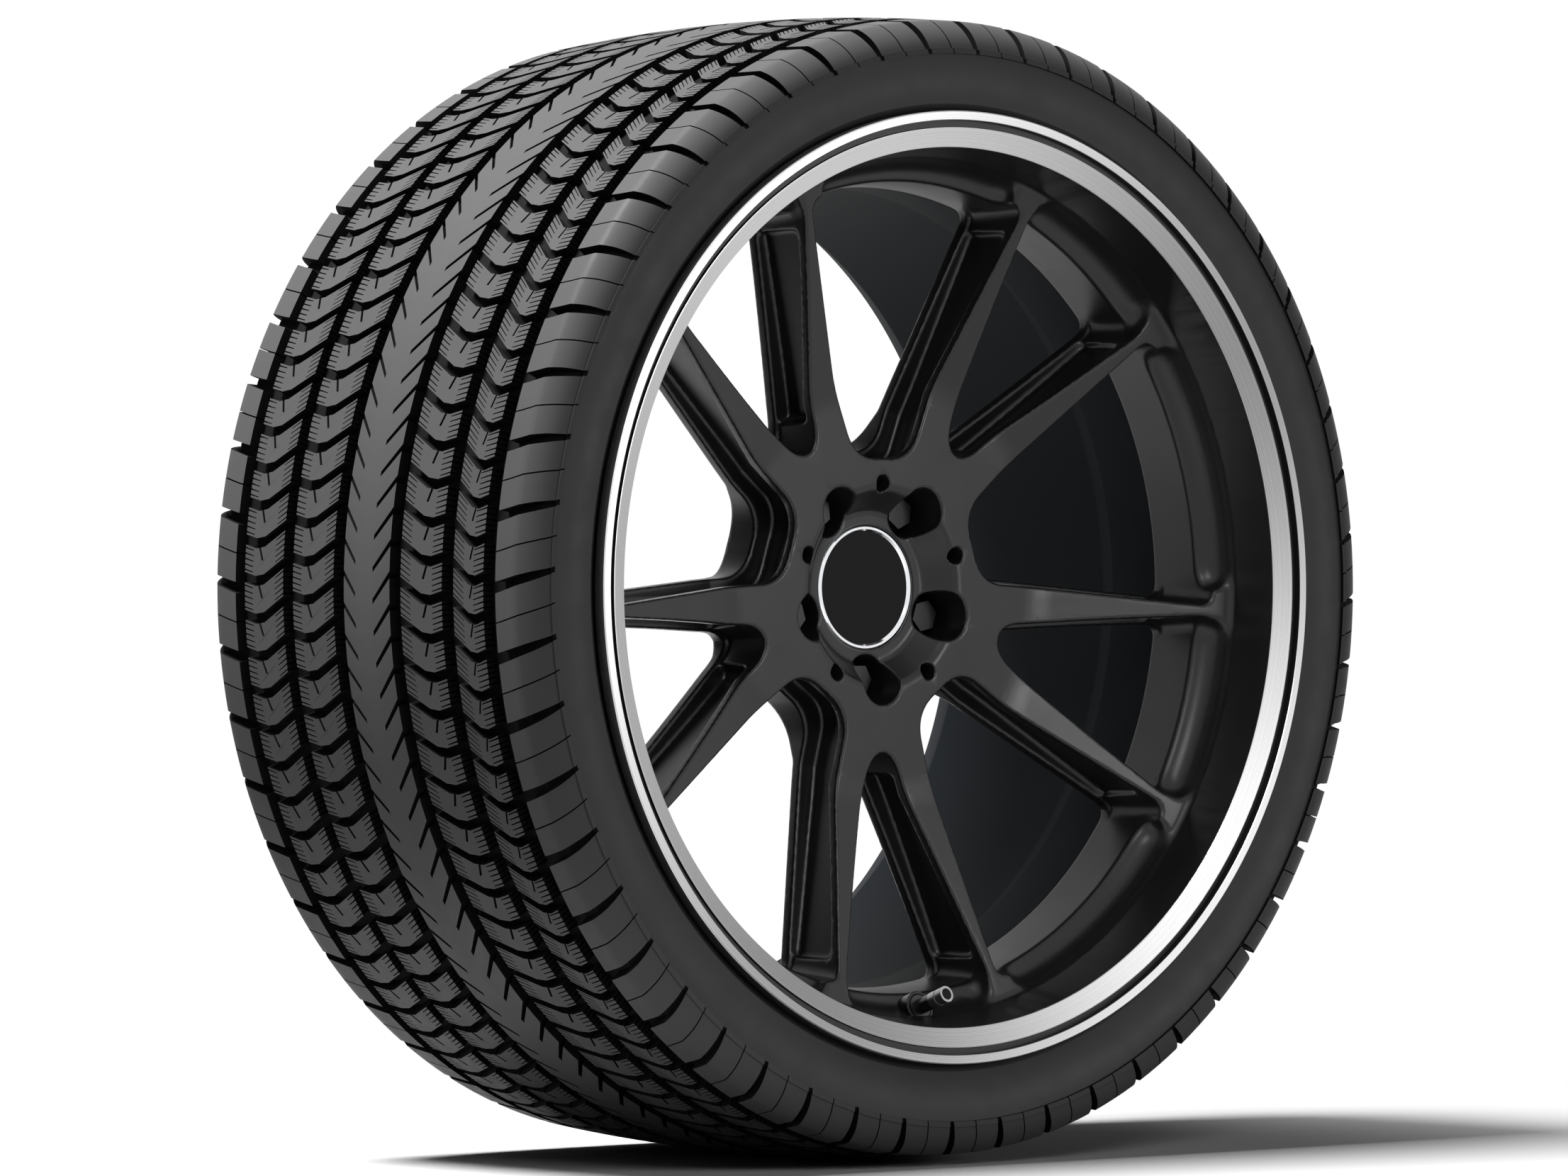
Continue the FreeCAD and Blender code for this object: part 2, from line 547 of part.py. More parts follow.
def hub_cap_base():
    """Base plate of the hub cap with its ring of spring clips."""
    body = new_body("hub_cap_base")
    skirt = "(cap_neck_radius - cap_gap)"
    inside = f"({skirt} - cap_skirt_wall)"
    tail = f"(cap_clip_tail - {CAP_NECK_END})"
    revolve(body, "cap_base_turned", "Revolution", [
        ("0", f"-{CAP_SEAT} - cap_base"),
        ("cap_radius", f"-{CAP_SEAT} - cap_base"),
        ("cap_radius", f"-{CAP_SEAT}"),
        (skirt, f"-{CAP_SEAT}"),
        (skirt, f"cap_gap - {CAP_NECK_END}"),
        (f"{skirt} + cap_clip_lip", f"cap_gap - {CAP_NECK_END}"),
        (f"{skirt} - cap_skirt_wall / 2", tail),
        (inside, tail),
        (inside, f"-{CAP_SEAT}"),
        ("0", f"-{CAP_SEAT}"),
    ])
    sketch = new_sketch(body, "clip_slot_outline", "XZ_Plane", shift={"z": CAP_SEAT})
    outline(sketch, [
        (f"{inside} - cap_skirt_wall", "-cap_slot_width / 2"),
        ("cap_radius", "-cap_slot_width / 2"),
        ("cap_radius", "cap_slot_width / 2"),
        (f"{inside} - cap_skirt_wall", "cap_slot_width / 2"),
    ])
    slot = extrude(body, "clip_slot", "Pocket", sketch, "cap_neck_length + 2 * cap_clip_tail")
    repeat(body, "all_clip_slots", [slot], "cap_slots")
    return body


def hub_cap_ring():
    body = new_body("hub_cap_ring")
    inside = "(cap_radius - cap_ring_width)"
    top = f"(-{CAP_SEAT} - cap_base - cap_disc)"
    revolve(body, "cap_ring_turned", "Revolution", [
        (inside, f"-{CAP_SEAT} - cap_base"),
        (inside, top),
        (f"{inside} + cap_ring_bevel", f"{top} - cap_ring_bevel"),
        ("cap_radius - cap_ring_bevel", f"{top} - cap_ring_bevel"),
        ("cap_radius", top),
        ("cap_radius", f"-{CAP_SEAT} - cap_base"),
    ])
    return body


def hub_cap_disc():
    """Plain face of the hub cap, inside its ring."""
    body = new_body("hub_cap_disc")
    edge = "(cap_radius - cap_ring_width - cap_disc_gap)"
    revolve(body, "cap_disc_turned", "Revolution", [
        ("0", f"-{CAP_SEAT} - cap_base"),
        ("0", f"-{CAP_SEAT} - cap_base - cap_disc"),
        (edge, f"-{CAP_SEAT} - cap_base - cap_disc"),
        (edge, f"-{CAP_SEAT} - cap_base"),
    ])
    return body


def valve_body(label, points):
    """A turned piece of the valve, drawn with its foot down and set at the valve's seat."""
    body = new_body(label)
    revolve(body, f"{label}_turned", "Revolution", points, plane="XZ_Plane")
    body.Placement = FreeCAD.Placement(Vector(), FreeCAD.Rotation(Vector(1, 0, 0), 1))
    bind(body, "Placement.Rotation.Angle", "90 deg - valve_tilt * 1 deg")
    bind(body, "Placement.Base.y", "-valve_hole_front")
    bind(body, "Placement.Base.z", "-valve_hole_radius_at")
    return body


def valve():
    """Snap-in valve: rubber, brass tube, core, pin and cap."""
    foot = "(-valve_land - valve_foot_length)"
    neck = "(valve_hole_radius - valve_rubber_gap)"
    core_top = "(valve_tip - core_recess)"
    core_foot = f"({core_top} - core_length)"
    pin_hole = "(pin_radius + pin_gap)"
    cap_foot = "(valve_neck_end + valve_cap_gap)"
    cap_inside = "(valve_thread_radius + valve_cap_gap)"
    cap_ceiling = "(valve_tip + valve_cap_room)"
    cap_top = f"({cap_ceiling} + valve_cap_roof)"
    cap_middle = f"(({cap_foot} + {cap_top}) / 2)"
    waist = "(valve_cap_radius - valve_cap_groove)"
    rubber = valve_body("valve_rubber", [
        ("valve_tube_radius", foot),
        ("valve_foot_radius", foot),
        ("valve_foot_radius", "-valve_land"),
        (neck, "-valve_land"),
        (neck, "0"),
        ("valve_bulb_radius", "0"),
        ("valve_bulb_radius", "valve_bulb_length"),
        ("valve_neck_radius", "valve_bulb_length"),
        ("valve_neck_radius", "valve_neck_end"),
        ("valve_tube_radius", "valve_neck_end"),
    ])
    tube = valve_body("valve_tube", [
        ("valve_bore_radius", foot),
        ("valve_tube_radius", foot),
        ("valve_tube_radius", "valve_neck_end"),
        ("valve_thread_radius", "valve_neck_end"),
        ("valve_thread_radius", "valve_tip"),
        ("valve_bore_radius", "valve_tip"),
    ])
    core = valve_body("valve_core", [
        (pin_hole, core_foot),
        ("valve_bore_radius - core_gap", core_foot),
        ("valve_bore_radius - core_gap", core_top),
        (pin_hole, core_top),
    ])
    pin = valve_body("valve_pin", [
        ("0", f"{core_foot} - pin_gap - pin_cup_length"),
        ("pin_cup_radius", f"{core_foot} - pin_gap - pin_cup_length"),
        ("pin_cup_radius", f"{core_foot} - pin_gap"),
        ("pin_radius", f"{core_foot} - pin_gap"),
        ("pin_radius", f"{core_top} + pin_proud"),
        ("0", f"{core_top} + pin_proud"),
    ])
    cap = valve_body("valve_cap", [
        (cap_inside, cap_foot),
        ("valve_cap_radius", cap_foot),
        ("valve_cap_radius", f"{cap_middle} - valve_cap_groove_width / 2"),
        (waist, f"{cap_middle} - valve_cap_groove_width / 2"),
        (waist, f"{cap_middle} + valve_cap_groove_width / 2"),
        ("valve_cap_radius", f"{cap_middle} + valve_cap_groove_width / 2"),
        ("valve_cap_radius", cap_top),
        ("0", cap_top),
        ("0", cap_ceiling),
        (cap_inside, cap_ceiling),
    ])
    return [rubber, tube, core, pin, cap]


# Tread grooves from outboard to inboard, as distances from the centre plane
RIB_EDGE_IN = "(rib_middle + rib_width / 2)"
RIB_EDGE_OUT = "(rib_middle - rib_width / 2)"
GROOVES = [
    f"({RIB_EDGE_OUT} - outer_row_inside - outer_row_outside)",
    f"({RIB_EDGE_OUT} - outer_row_inside)",
    RIB_EDGE_OUT,
    RIB_EDGE_IN,
    f"({RIB_EDGE_IN} + inner_row_width)",
    f"({RIB_EDGE_IN} + 2 * inner_row_width)",
]
BLOCK_ROWS = [GROOVES[0:2], GROOVES[1:3], GROOVES[3:5], GROOVES[4:6]]


def crown(place):
    """Radius of the tread at a distance from the centre plane."""
    return f"(crown_radius - crown_drop * (({place}) / tread_half_width) ^ 2)"


def tyre_section():
    """Section of the tyre: bead, sidewall, shoulder and grooved tread, then the inner liner."""
    edge = crown("tread_half_width")

    def outside(side):
        return [
            (f"{SEAT_END_RADIUS} + bead_gap", f"{side} * {SEAT_END}"),
            ("bead_seat_radius + bead_gap", f"{side} * (rim_half_width - bead_heel)"),
            ("bead_seat_radius + bead_heel + bead_gap", f"{side} * (rim_half_width - bead_gap)"),
            ("flange_radius - flange_round / 2", f"{side} * (rim_half_width - bead_gap)"),
            ("sidewall_radius", f"{side} * sidewall_half_width"),
            ("shoulder_radius", f"{side} * shoulder_half_width"),
            ("shoulder_edge_radius", f"{side} * shoulder_edge_half_width"),
            (edge, f"{side} * tread_half_width"),
        ]

    def inside(side):
        return [
            ("sidewall_radius", f"{side} * (sidewall_half_width - sidewall_thickness)"),
            ("shoulder_radius", f"{side} * (shoulder_half_width - sidewall_thickness)"),
            (f"{edge} - tread_thickness", f"{side} * (shoulder_half_width - liner_shoulder)"),
            (f"{crown('liner_flat')} - tread_thickness", f"{side} * liner_flat"),
        ]

    outboard, inboard = outside("-1"), outside("1")[::-1]
    outboard[4] += ("sidewall_curve",)
    inboard[2] += ("sidewall_curve",)
    tread = []
    for groove in GROOVES:
        low, high = f"({groove} - groove_width / 2)", f"({groove} + groove_width / 2)"
        floor = f"{crown(groove)} - groove_depth"
        tread += [(crown(low), low), (floor, low), (floor, high), (crown(high), high)]
    return outboard + tread + inboard + inside("1") + inside("-1")[::-1]


def cross_groove(low, high, start):
    """An arrow-shaped groove across one block row, from one circumferential groove to the next."""
    middle = f"({low} + {high}) / 2"
    back = f"({start} + cross_groove_width)"
    return [
        (start, low),
        (back, low),
        (f"{back} - cross_groove_point", middle),
        (back, high),
        (start, high),
        (f"{start} - cross_groove_point", middle),
    ]


def shoulder_groove(side, groove):
    """The section of a groove over one shoulder, open to the outside."""
    floor = f"{crown('tread_half_width')} - shoulder_groove_depth"
    beyond = f"{side} * (shoulder_half_width + shoulder_groove_depth)"
    return [
        (groove, floor),
        (f"{side} * tread_half_width", floor),
        (f"{side} * (shoulder_half_width - shoulder_groove_depth / 2)", "shoulder_radius"),
        (beyond, "shoulder_radius"),
        (beyond, "crown_radius + groove_depth"),
        (groove, "crown_radius + groove_depth"),
    ]


def tyre():
    body = new_body("tyre")
    revolve(body, "carcass", "Revolution", tyre_section())
    sketch = new_sketch(body, "cross_groove_outlines", "XY_Plane",
                        shift={"z": "crown_radius + groove_depth"})
    for row, (low, high) in enumerate(BLOCK_ROWS):
        outline(sketch, cross_groove(low, high, f"({row} * cross_groove_point)"))
    cross = extrude(body, "cross_groove", "Pocket", sketch, "2 * groove_depth")
    repeat(body, "all_cross_grooves", [cross], "cross_grooves")
    sketch = new_sketch(body, "shoulder_groove_sections", "YZ_Plane",
                        turn=(Vector(0, 1, 0), "shoulder_groove_slant * 1 deg"))
    outline(sketch, shoulder_groove("-1", GROOVES[0]))
    outline(sketch, shoulder_groove("1", GROOVES[-1]))
    shoulder = extrude(body, "shoulder_groove", "Pocket", sketch, "shoulder_groove_width", both_ways=True)
    repeat(body, "all_shoulder_grooves", [shoulder], "shoulder_grooves")
    return body


parts = [forged_wheel(), tyre(), wheel_bolts(), hub_cap_base(), hub_cap_ring(), hub_cap_disc(), *valve()]
doc.recompute()

for thing in doc.Objects:
    if {"Invalid", "Error"} & set(thing.State):
        raise RuntimeError(f"{thing.Label} could not be made: {thing.State}")
for part in parts:
    if part.Shape.isNull() or not part.Shape.isValid():
        raise RuntimeError(f"{part.Label} has no valid solid")

os.makedirs("parts", exist_ok=True)
for part in parts:
    part.Shape.exportStep(f"parts/{part.Label}.step")
    box = part.Shape.BoundBox
    print(f"{part.Label}: {len(part.Shape.Solids)} solids, {part.Shape.Volume / 1000:.1f} cm3, "
          f"{box.XLength:.1f} x {box.YLength:.1f} x {box.ZLength:.1f} mm, {len(part.Shape.Faces)} faces")
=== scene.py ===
# %% [markdown]
# # A forged wheel with its winter tyre
# This lesson dresses a wheel that was built in CAD.
# The frame brings the solids and the bodies that they ride on.
# The wheel turns about the Y axis, its outboard face looks along -Y and +Z is up.
# Lengths are millimetres until a mesh is made, because rims and tyres are drawn that way.

# %% Frame
import math

import bmesh
import bpy
import numpy as np
from mathutils import Matrix, Vector


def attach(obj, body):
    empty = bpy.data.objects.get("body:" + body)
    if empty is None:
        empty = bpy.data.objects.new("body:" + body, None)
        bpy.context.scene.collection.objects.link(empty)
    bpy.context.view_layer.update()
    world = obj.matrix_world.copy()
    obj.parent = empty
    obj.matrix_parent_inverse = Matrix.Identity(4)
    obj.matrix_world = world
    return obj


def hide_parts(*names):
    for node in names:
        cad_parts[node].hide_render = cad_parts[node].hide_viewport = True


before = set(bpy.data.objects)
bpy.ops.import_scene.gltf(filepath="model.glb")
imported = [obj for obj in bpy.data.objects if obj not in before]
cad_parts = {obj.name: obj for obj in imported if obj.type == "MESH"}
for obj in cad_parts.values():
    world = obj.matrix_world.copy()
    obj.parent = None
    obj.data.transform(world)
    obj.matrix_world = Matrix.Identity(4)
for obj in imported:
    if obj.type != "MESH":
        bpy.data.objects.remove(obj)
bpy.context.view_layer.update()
MM = 0.001
print("frame:", sorted(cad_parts))

# %% [markdown]
# ## Shared tools
# A rim and a tyre are mostly turned: a section is spun about the wheel's axis.
# A screw modifier could spin it, but it can't give each run of the section a finish of its own.
# So the points and faces are written here, and one small class gathers them into a mesh.

# %% Tools
FULL_TURN = 2 * math.pi


class Pieces:
    """Points and faces of one mesh, gathered part by part."""

    def __init__(self):
        self.points, self.faces, self.kinds, self.count = [], [], [], 0

    def add(self, points, faces, kinds=None):
        points = np.asarray(points, float).reshape(-1, 3)
        self.points.append(points)
        self.faces += [[corner + self.count for corner in face] for face in faces]
        self.kinds += kinds or [0] * len(faces)
        self.count += len(points)

    def make(self, name, *materials, sharp=32):
        mesh = bpy.data.meshes.new(name)
        mesh.from_pydata((np.concatenate(self.points) * MM).tolist(), [], self.faces)
        mesh.shade_smooth()
        mesh.set_sharp_from_angle(angle=math.radians(sharp))
        for finish in materials:
            mesh.materials.append(finish)
        mesh.polygons.foreach_set("material_index", self.kinds)
        piece = bpy.data.objects.new(name, mesh)
        bpy.context.collection.objects.link(piece)
        return piece


def around(radius, angle, along):
    """Points at a radius and angle about the wheel's axis, and a place along it."""
    return np.stack(np.broadcast_arrays(radius * np.cos(angle), along, radius * np.sin(angle)), axis=-1)


def arc(start, stop, radius, steps):
    """Points from start towards stop on a circle of that radius, bulging to the left of the run."""
    start, stop = np.array(start, float), np.array(stop, float)
    chord = stop - start
    length = np.hypot(*chord)
    left = np.array([-chord[1], chord[0]]) / length
    centre = (start + stop) / 2 - left * math.sqrt(radius ** 2 - length ** 2 / 4)
    first, last = (math.atan2(*(point - centre)[::-1]) for point in (start, stop))
    swing = (last - first + math.pi) % FULL_TURN - math.pi
    angles = first + swing * np.linspace(0, 1, steps + 1)
    return [tuple(centre + radius * np.array([math.cos(a), math.sin(a)])) for a in angles]


def spin(store, section, steps, kinds=None):
    """A closed section of (radius, along) points spun right round the axis, with a finish for each run."""
    r, y = np.array(section, float).T
    size = len(r)
    outward = np.sum(r * np.roll(y, -1) - np.roll(r, -1) * y) < 0
    angles = np.arange(steps) * FULL_TURN / steps
    faces = []
    for step in range(steps):
        here, after = step * size, (step + 1) % steps * size
        ring = [(here + i, after + i, after + (i + 1) % size, here + (i + 1) % size) for i in range(size)]
        faces += ring if outward else [face[::-1] for face in ring]
    store.add(around(r[None], angles[:, None], y[None]), faces, list(kinds or [0] * size) * steps)


print("tools: one class that gathers faces, and three helpers for round forms")

# %% [markdown]
# ## Finishes
# The tread is charcoal rubber with painted shade in its grooves, the wheel is satin black paint, and the lip
# is bare metal from the lathe.
# Each is one Principled shader. What is the same all over is set on the shader's own sockets,
# and what changes over the surface comes from a node group, so that several finishes can share it.

# %% Material helpers


def material(name, color, roughness, metallic=0.0, **sockets):
    made = bpy.data.materials.new(name)
    made.use_nodes = True
    shader = made.node_tree.nodes["Principled BSDF"]
    shader.inputs["Base Color"].default_value = (*color, 1)
    shader.inputs["Roughness"].default_value = roughness
    shader.inputs["Metallic"].default_value = metallic
    for socket, number in sockets.items():
        shader.inputs[socket.replace("_", " ")].default_value = number
    return made


def use_group(finish, group, settings=None, **sockets):
    """Adds a group to a material, sets its inputs and links its outputs to the shader's sockets."""
    tree = finish.node_tree
    holder = tree.nodes.new("ShaderNodeGroup")
    holder.node_tree = group
    for name, number in (settings or {}).items():
        holder.inputs[name].default_value = number
    for output, socket in sockets.items():
        target = tree.nodes["Principled BSDF"].inputs[socket.replace("_", " ")]
        tree.links.new(holder.outputs[output], target)


def calculate(group, operation, *values):
    """One sum on values, where each is a socket or a number."""
    node = group.nodes.new("ShaderNodeMath")
    node.operation = operation
    for socket, value in zip(node.inputs, values):
        if isinstance(value, (int, float)):
            socket.default_value = value
        else:
            group.links.new(value, socket)
    return node.outputs[0]


print("material helpers: material, use_group, calculate")

# %% [markdown]
# ## Turned metal and painted reflection
# A lathe tool leaves fine rings on the lip, and such rings throw light and dark fans of reflection; here
# those fans are painted reflection in the base colour.
# Real rings would need a mesh far too fine, so they are drawn in the finish.
# A noise that depends on the radius alone draws the rings, and two waves round the axis paint the fans as
# lighter and darker colour round the lip.

# %% Turned metal and painted reflection
# The share of the fans is painted reflection: it sets how far they swing the colour between the darkest and
# the brightest metal.
RINGS_SCALE, RINGS_ROUGHNESS, RINGS_SHARE, PAINTED_FANS_SHARE = 2600, 0.2, 0.3, 0.14
DARKEST_METAL, BRIGHTEST_METAL = 0.2, 0.78


def rings_and_painted_fans():
    """Fine rings of a lathe tool, and painted reflection: light and dark fans painted into the colour round
    the axis.
    """
    group = bpy.data.node_groups.new("rings_and_painted_fans", "ShaderNodeTree")
    group.interface.new_socket("Shade", in_out="OUTPUT", socket_type="NodeSocketColor")
    group.interface.new_socket("Roughness", in_out="OUTPUT", socket_type="NodeSocketFloat")
    place = group.nodes.new("ShaderNodeTexCoord")
    split = group.nodes.new("ShaderNodeSeparateXYZ")
    group.links.new(place.outputs["Object"], split.inputs[0])
    x, z = split.outputs["X"], split.outputs["Z"]
    squared = calculate(group, "MULTIPLY_ADD", x, x, calculate(group, "MULTIPLY", z, z))
    radius = calculate(group, "SQRT", squared)
    angle = calculate(group, "ARCTAN2", z, x)
    rings = group.nodes.new("ShaderNodeTexNoise")
    rings.noise_dimensions = "1D"
    rings.inputs["Scale"].default_value = RINGS_SCALE
    rings.inputs["Detail"].default_value = 3
    group.links.new(radius, rings.inputs["W"])
    # Painted reflection: two waves round the axis make the light and dark fans in the colour.
    twofold = calculate(group, "COSINE", calculate(group, "MULTIPLY_ADD", angle, 2, 1.4))
    threefold = calculate(group, "COSINE", calculate(group, "MULTIPLY_ADD", angle, 3, 2.2))
    painted_fans = calculate(group, "MULTIPLY_ADD", threefold, 0.5, twofold)
    painted_fan_level = calculate(group, "MULTIPLY", painted_fans, PAINTED_FANS_SHARE)
    level = calculate(group, "MULTIPLY_ADD", rings.outputs[0], RINGS_SHARE, painted_fan_level)
    shade = group.nodes.new("ShaderNodeMapRange")
    shade.inputs["From Min"].default_value = -0.06
    shade.inputs["From Max"].default_value = 0.36
    shade.inputs["To Min"].default_value = DARKEST_METAL
    shade.inputs["To Max"].default_value = BRIGHTEST_METAL
    group.links.new(level, shade.inputs["Value"])
    result = group.nodes.new("NodeGroupOutput")
    group.links.new(shade.outputs["Result"], result.inputs["Shade"])
    rough = calculate(group, "MULTIPLY_ADD", rings.outputs[0], RINGS_ROUGHNESS, RINGS_ROUGHNESS)
    group.links.new(rough, result.inputs["Roughness"])
    return group


turned = rings_and_painted_fans()
print("turned metal nodes:", len(turned.nodes))

# %% [markdown]
# ## Fine grain
# Moulded rubber and sprayed paint are never evenly glossy. A soft noise lets the roughness swing a little.
# Rubber, sidewall and paint all need it, so it is one group with a level, a swing and a scale as inputs.

# %% Fine grain


def fine_grain():
    """Uneven gloss: a level of roughness that swings a little over the surface."""
    group = bpy.data.node_groups.new("fine_grain", "ShaderNodeTree")
    for name in ("Level", "Swing", "Scale"):
        group.interface.new_socket(name, in_out="INPUT", socket_type="NodeSocketFloat")
    group.interface.new_socket("Roughness", in_out="OUTPUT", socket_type="NodeSocketFloat")
    given = group.nodes.new("NodeGroupInput").outputs
    place = group.nodes.new("ShaderNodeTexCoord")
    grain = group.nodes.new("ShaderNodeTexNoise")
    grain.inputs["Detail"].default_value = 4
    group.links.new(place.outputs["Object"], grain.inputs["Vector"])
    group.links.new(given["Scale"], grain.inputs["Scale"])
    centred = calculate(group, "SUBTRACT", grain.outputs[0], 0.5)
    result = group.nodes.new("NodeGroupOutput")
    rough = calculate(group, "MULTIPLY_ADD", centred, given["Swing"], given["Level"])
    group.links.new(rough, result.inputs["Roughness"])
    return group


grain = fine_grain()
print("fine grain inputs: Level, Swing, Scale")

# %% Finishes
rubber = material("tyre_rubber", (0.045, 0.045, 0.046), 0.5, Specular_IOR_Level=0.06)
# The groove rubber is painted shade: the groove floors and the walls of the blocks and rib are made near
# black for the shade down in the grooves.
groove_painted_shade = material("groove_painted_shade", (0.004, 0.004, 0.004), 0.8, Specular_IOR_Level=0.05)
wall_rubber = material("sidewall_rubber", (0.016, 0.016, 0.017), 0.5, Specular_IOR_Level=0.25)
satin_black = material("satin_black", (0.009, 0.009, 0.0095), 0.32, Specular_IOR_Level=0.35)
barrel_black = material("barrel_black", (0.006, 0.0075, 0.0095), 0.6, Specular_IOR_Level=0.04)
bare_metal = material("turned_aluminium", (0.66, 0.66, 0.67), 0.28, 1.0)
grainy = ((rubber, 0.5, 0.3, 90), (wall_rubber, 0.5, 0.2, 60), (satin_black, 0.32, 0.12, 40))
for finish, level, swing, scale in grainy:
    use_group(finish, grain, {"Level": level, "Swing": swing, "Scale": scale}, Roughness="Roughness")
# The lip's base colour carries the lathe rings and the painted reflection of the fans.
use_group(bare_metal, turned, Shade="Base Color", Roughness="Roughness")
dark_bolt = material("dark_bolt", (0.03, 0.03, 0.032), 0.4, 0.6)
black_plastic = material("black_plastic", (0.012, 0.012, 0.013), 0.4)
gloss_black = material("gloss_black", (0.006, 0.006, 0.007), 0.2, Specular_IOR_Level=0.1)
chrome = material("chrome", (0.82, 0.83, 0.85), 0.08, 1.0)
valve_black = material("valve_black", (0.006, 0.006, 0.006), 0.3)
brass = material("brass", (0.6, 0.45, 0.2), 0.3, 1.0)
cap_silver = material("cap_silver", (0.34, 0.34, 0.35), 0.34, 1.0)
print("finishes:", len(bpy.data.materials))

# %% [markdown]
# ## Tyre
# A mould presses the tread: blocks, a centre rib and shoulders stand on the floor of the grooves.
# The grooves could be cut from a solid tyre, but some thousand cuts are slow and leave poor meshes.
# So the carcass is turned with the groove floor as its outside, and every block is set on to it.

# %% Tread surface
CROWN_RADIUS, CROWN_DROP, TREAD_HALF = 346.0, 6.5, 138.5
GROOVE_DEPTH, GROOVE_WIDTH, SUNK = 8.0, 10.0, 0.4
GROOVES = (-118.0, -83.0, -37.0, 15.0, 64.5, 114.0)
# Faces of kind GROOVE, the groove floors and the walls of the blocks, take the near black groove rubber,
# which is painted shade.
TOP, GROOVE, WALL = 0, 1, 2


def crown(y):
    return CROWN_RADIUS - CROWN_DROP * (np.asarray(y, float) / TREAD_HALF) ** 2


def on_tread(flat, depth=0.0):
    """Flat pattern points (round, along) wrapped on to the tread, a depth below its surface."""
    flat = np.asarray(flat, float)
    return around(crown(flat[:, 1]) - depth, flat[:, 0] / CROWN_RADIUS, flat[:, 1])


def turned_by(points, angle):
    cos, sin = math.cos(angle), math.sin(angle)
    x, y, z = np.asarray(points).T
    return np.stack([x * cos - z * sin, y, x * sin + z * cos], axis=-1)


def shoulder_profile(side):
    """Top and floor of a shoulder from the outer groove to the sidewall."""
    inner = abs(GROOVES[0] if side < 0 else GROOVES[-1]) + GROOVE_WIDTH / 2
    flat = [(float(crown(y)), y) for y in np.linspace(inner, TREAD_HALF, 5)]
    bend = arc((322.0, 150.5), flat[-1], 24.0, 9)[::-1][1:]
    step = [(322.4, 151.4), (319.2, 151.6)]
    top = np.array(flat + bend + step)
    run = np.concatenate([[0], np.cumsum(np.hypot(*np.diff(top, axis=0).T))])
    run /= run[-1]
    tangent = np.gradient(top, axis=0)
    tangent /= np.hypot(*tangent.T)[:, None]
    normal = np.stack([tangent[:, 1], -tangent[:, 0]], axis=-1)
    depth = np.interp(run, [0, 0.35, 0.75, 1], [GROOVE_DEPTH, 7.0, 4.0, 1.3])
    floor = top - normal * depth[:, None]
    top[:, 1] *= side
    floor[:, 1] *= side
    return top, floor, run


print("tread surface: radius", CROWN_RADIUS, "half width", TREAD_HALF, "grooves", len(GROOVES))

# %% [markdown]
# ## Carcass
# The carcass runs from bead to bead, with sidewalls that bulge a little and a liner inside.
# One closed section is spun, and each run of it knows whether it is sidewall or groove floor.

# %% Carcass
SPIN_STEPS = 216


def tyre_section():
    halves = []
    for side in (-1, 1):
        bead = [(266.5, 116.0), (268.0, 135.0), (273.0, 139.7), (282.0, 139.7), (288.0, 146.2)]
        wall = arc((320.5, 149.6), (289.5, 147.0), 42.0, 8)[::-1]
        outside = [(r, side * y, WALL) for r, y in bead + wall]
        halves.append(outside + [(*point, GROOVE) for point in shoulder_profile(side)[1][::-1]])
    middle = [(float(crown(y)) - GROOVE_DEPTH, y, GROOVE) for y in np.linspace(-100, 100, 13)]
    liner = [(289.5, 136.0), (322.0, 139.5), (327.5, 120.5), (331.8, 80.0)]
    inside = [(r, y, WALL) for r, y in liner] + [(r, -y, WALL) for r, y in liner[::-1]]
    return halves[0] + middle + halves[1][::-1] + inside


tread = Pieces()
section = tyre_section()
spin(tread, [point[:2] for point in section], SPIN_STEPS, [point[2] for point in section])
print("carcass points:", tread.count)

# %% [markdown]
# ## Block rows
# Four rows of arrow-shaped blocks bite into snow, and thin cuts called sipes open in each as it rolls.
# The outline of a block, with its sipes, is drawn flat, wrapped on to the crown and repeated all round.

# %% Block rows
BLOCKS = 96
PITCH = FULL_TURN * CROWN_RADIUS / BLOCKS
BLOCK_LENGTH = 16.4
SIPES, SIPE_HALF, SIPE_REACH = 5, 0.5, 8.5


def prism(store, flat, copies, depth=GROOVE_DEPTH + SUNK):
    """A block with a flat outline, standing on the groove floor and repeated round the tread."""
    flat = np.array(flat, float)
    s, y = flat.T
    if np.sum(s * np.roll(y, -1) - np.roll(s, -1) * y) > 0:
        flat = flat[::-1]
    size = len(flat)
    points = np.concatenate([on_tread(flat), on_tread(flat, depth)])
    walls = [(i, i + size, (i + 1) % size + size, (i + 1) % size) for i in range(size)]
    faces = [tuple(range(size)), tuple(range(2 * size - 1, size - 1, -1))] + walls
    kinds = [TOP] + [GROOVE] * (len(faces) - 1)
    for copy in range(copies):
        store.add(turned_by(points, FULL_TURN * copy / copies), faces, kinds)


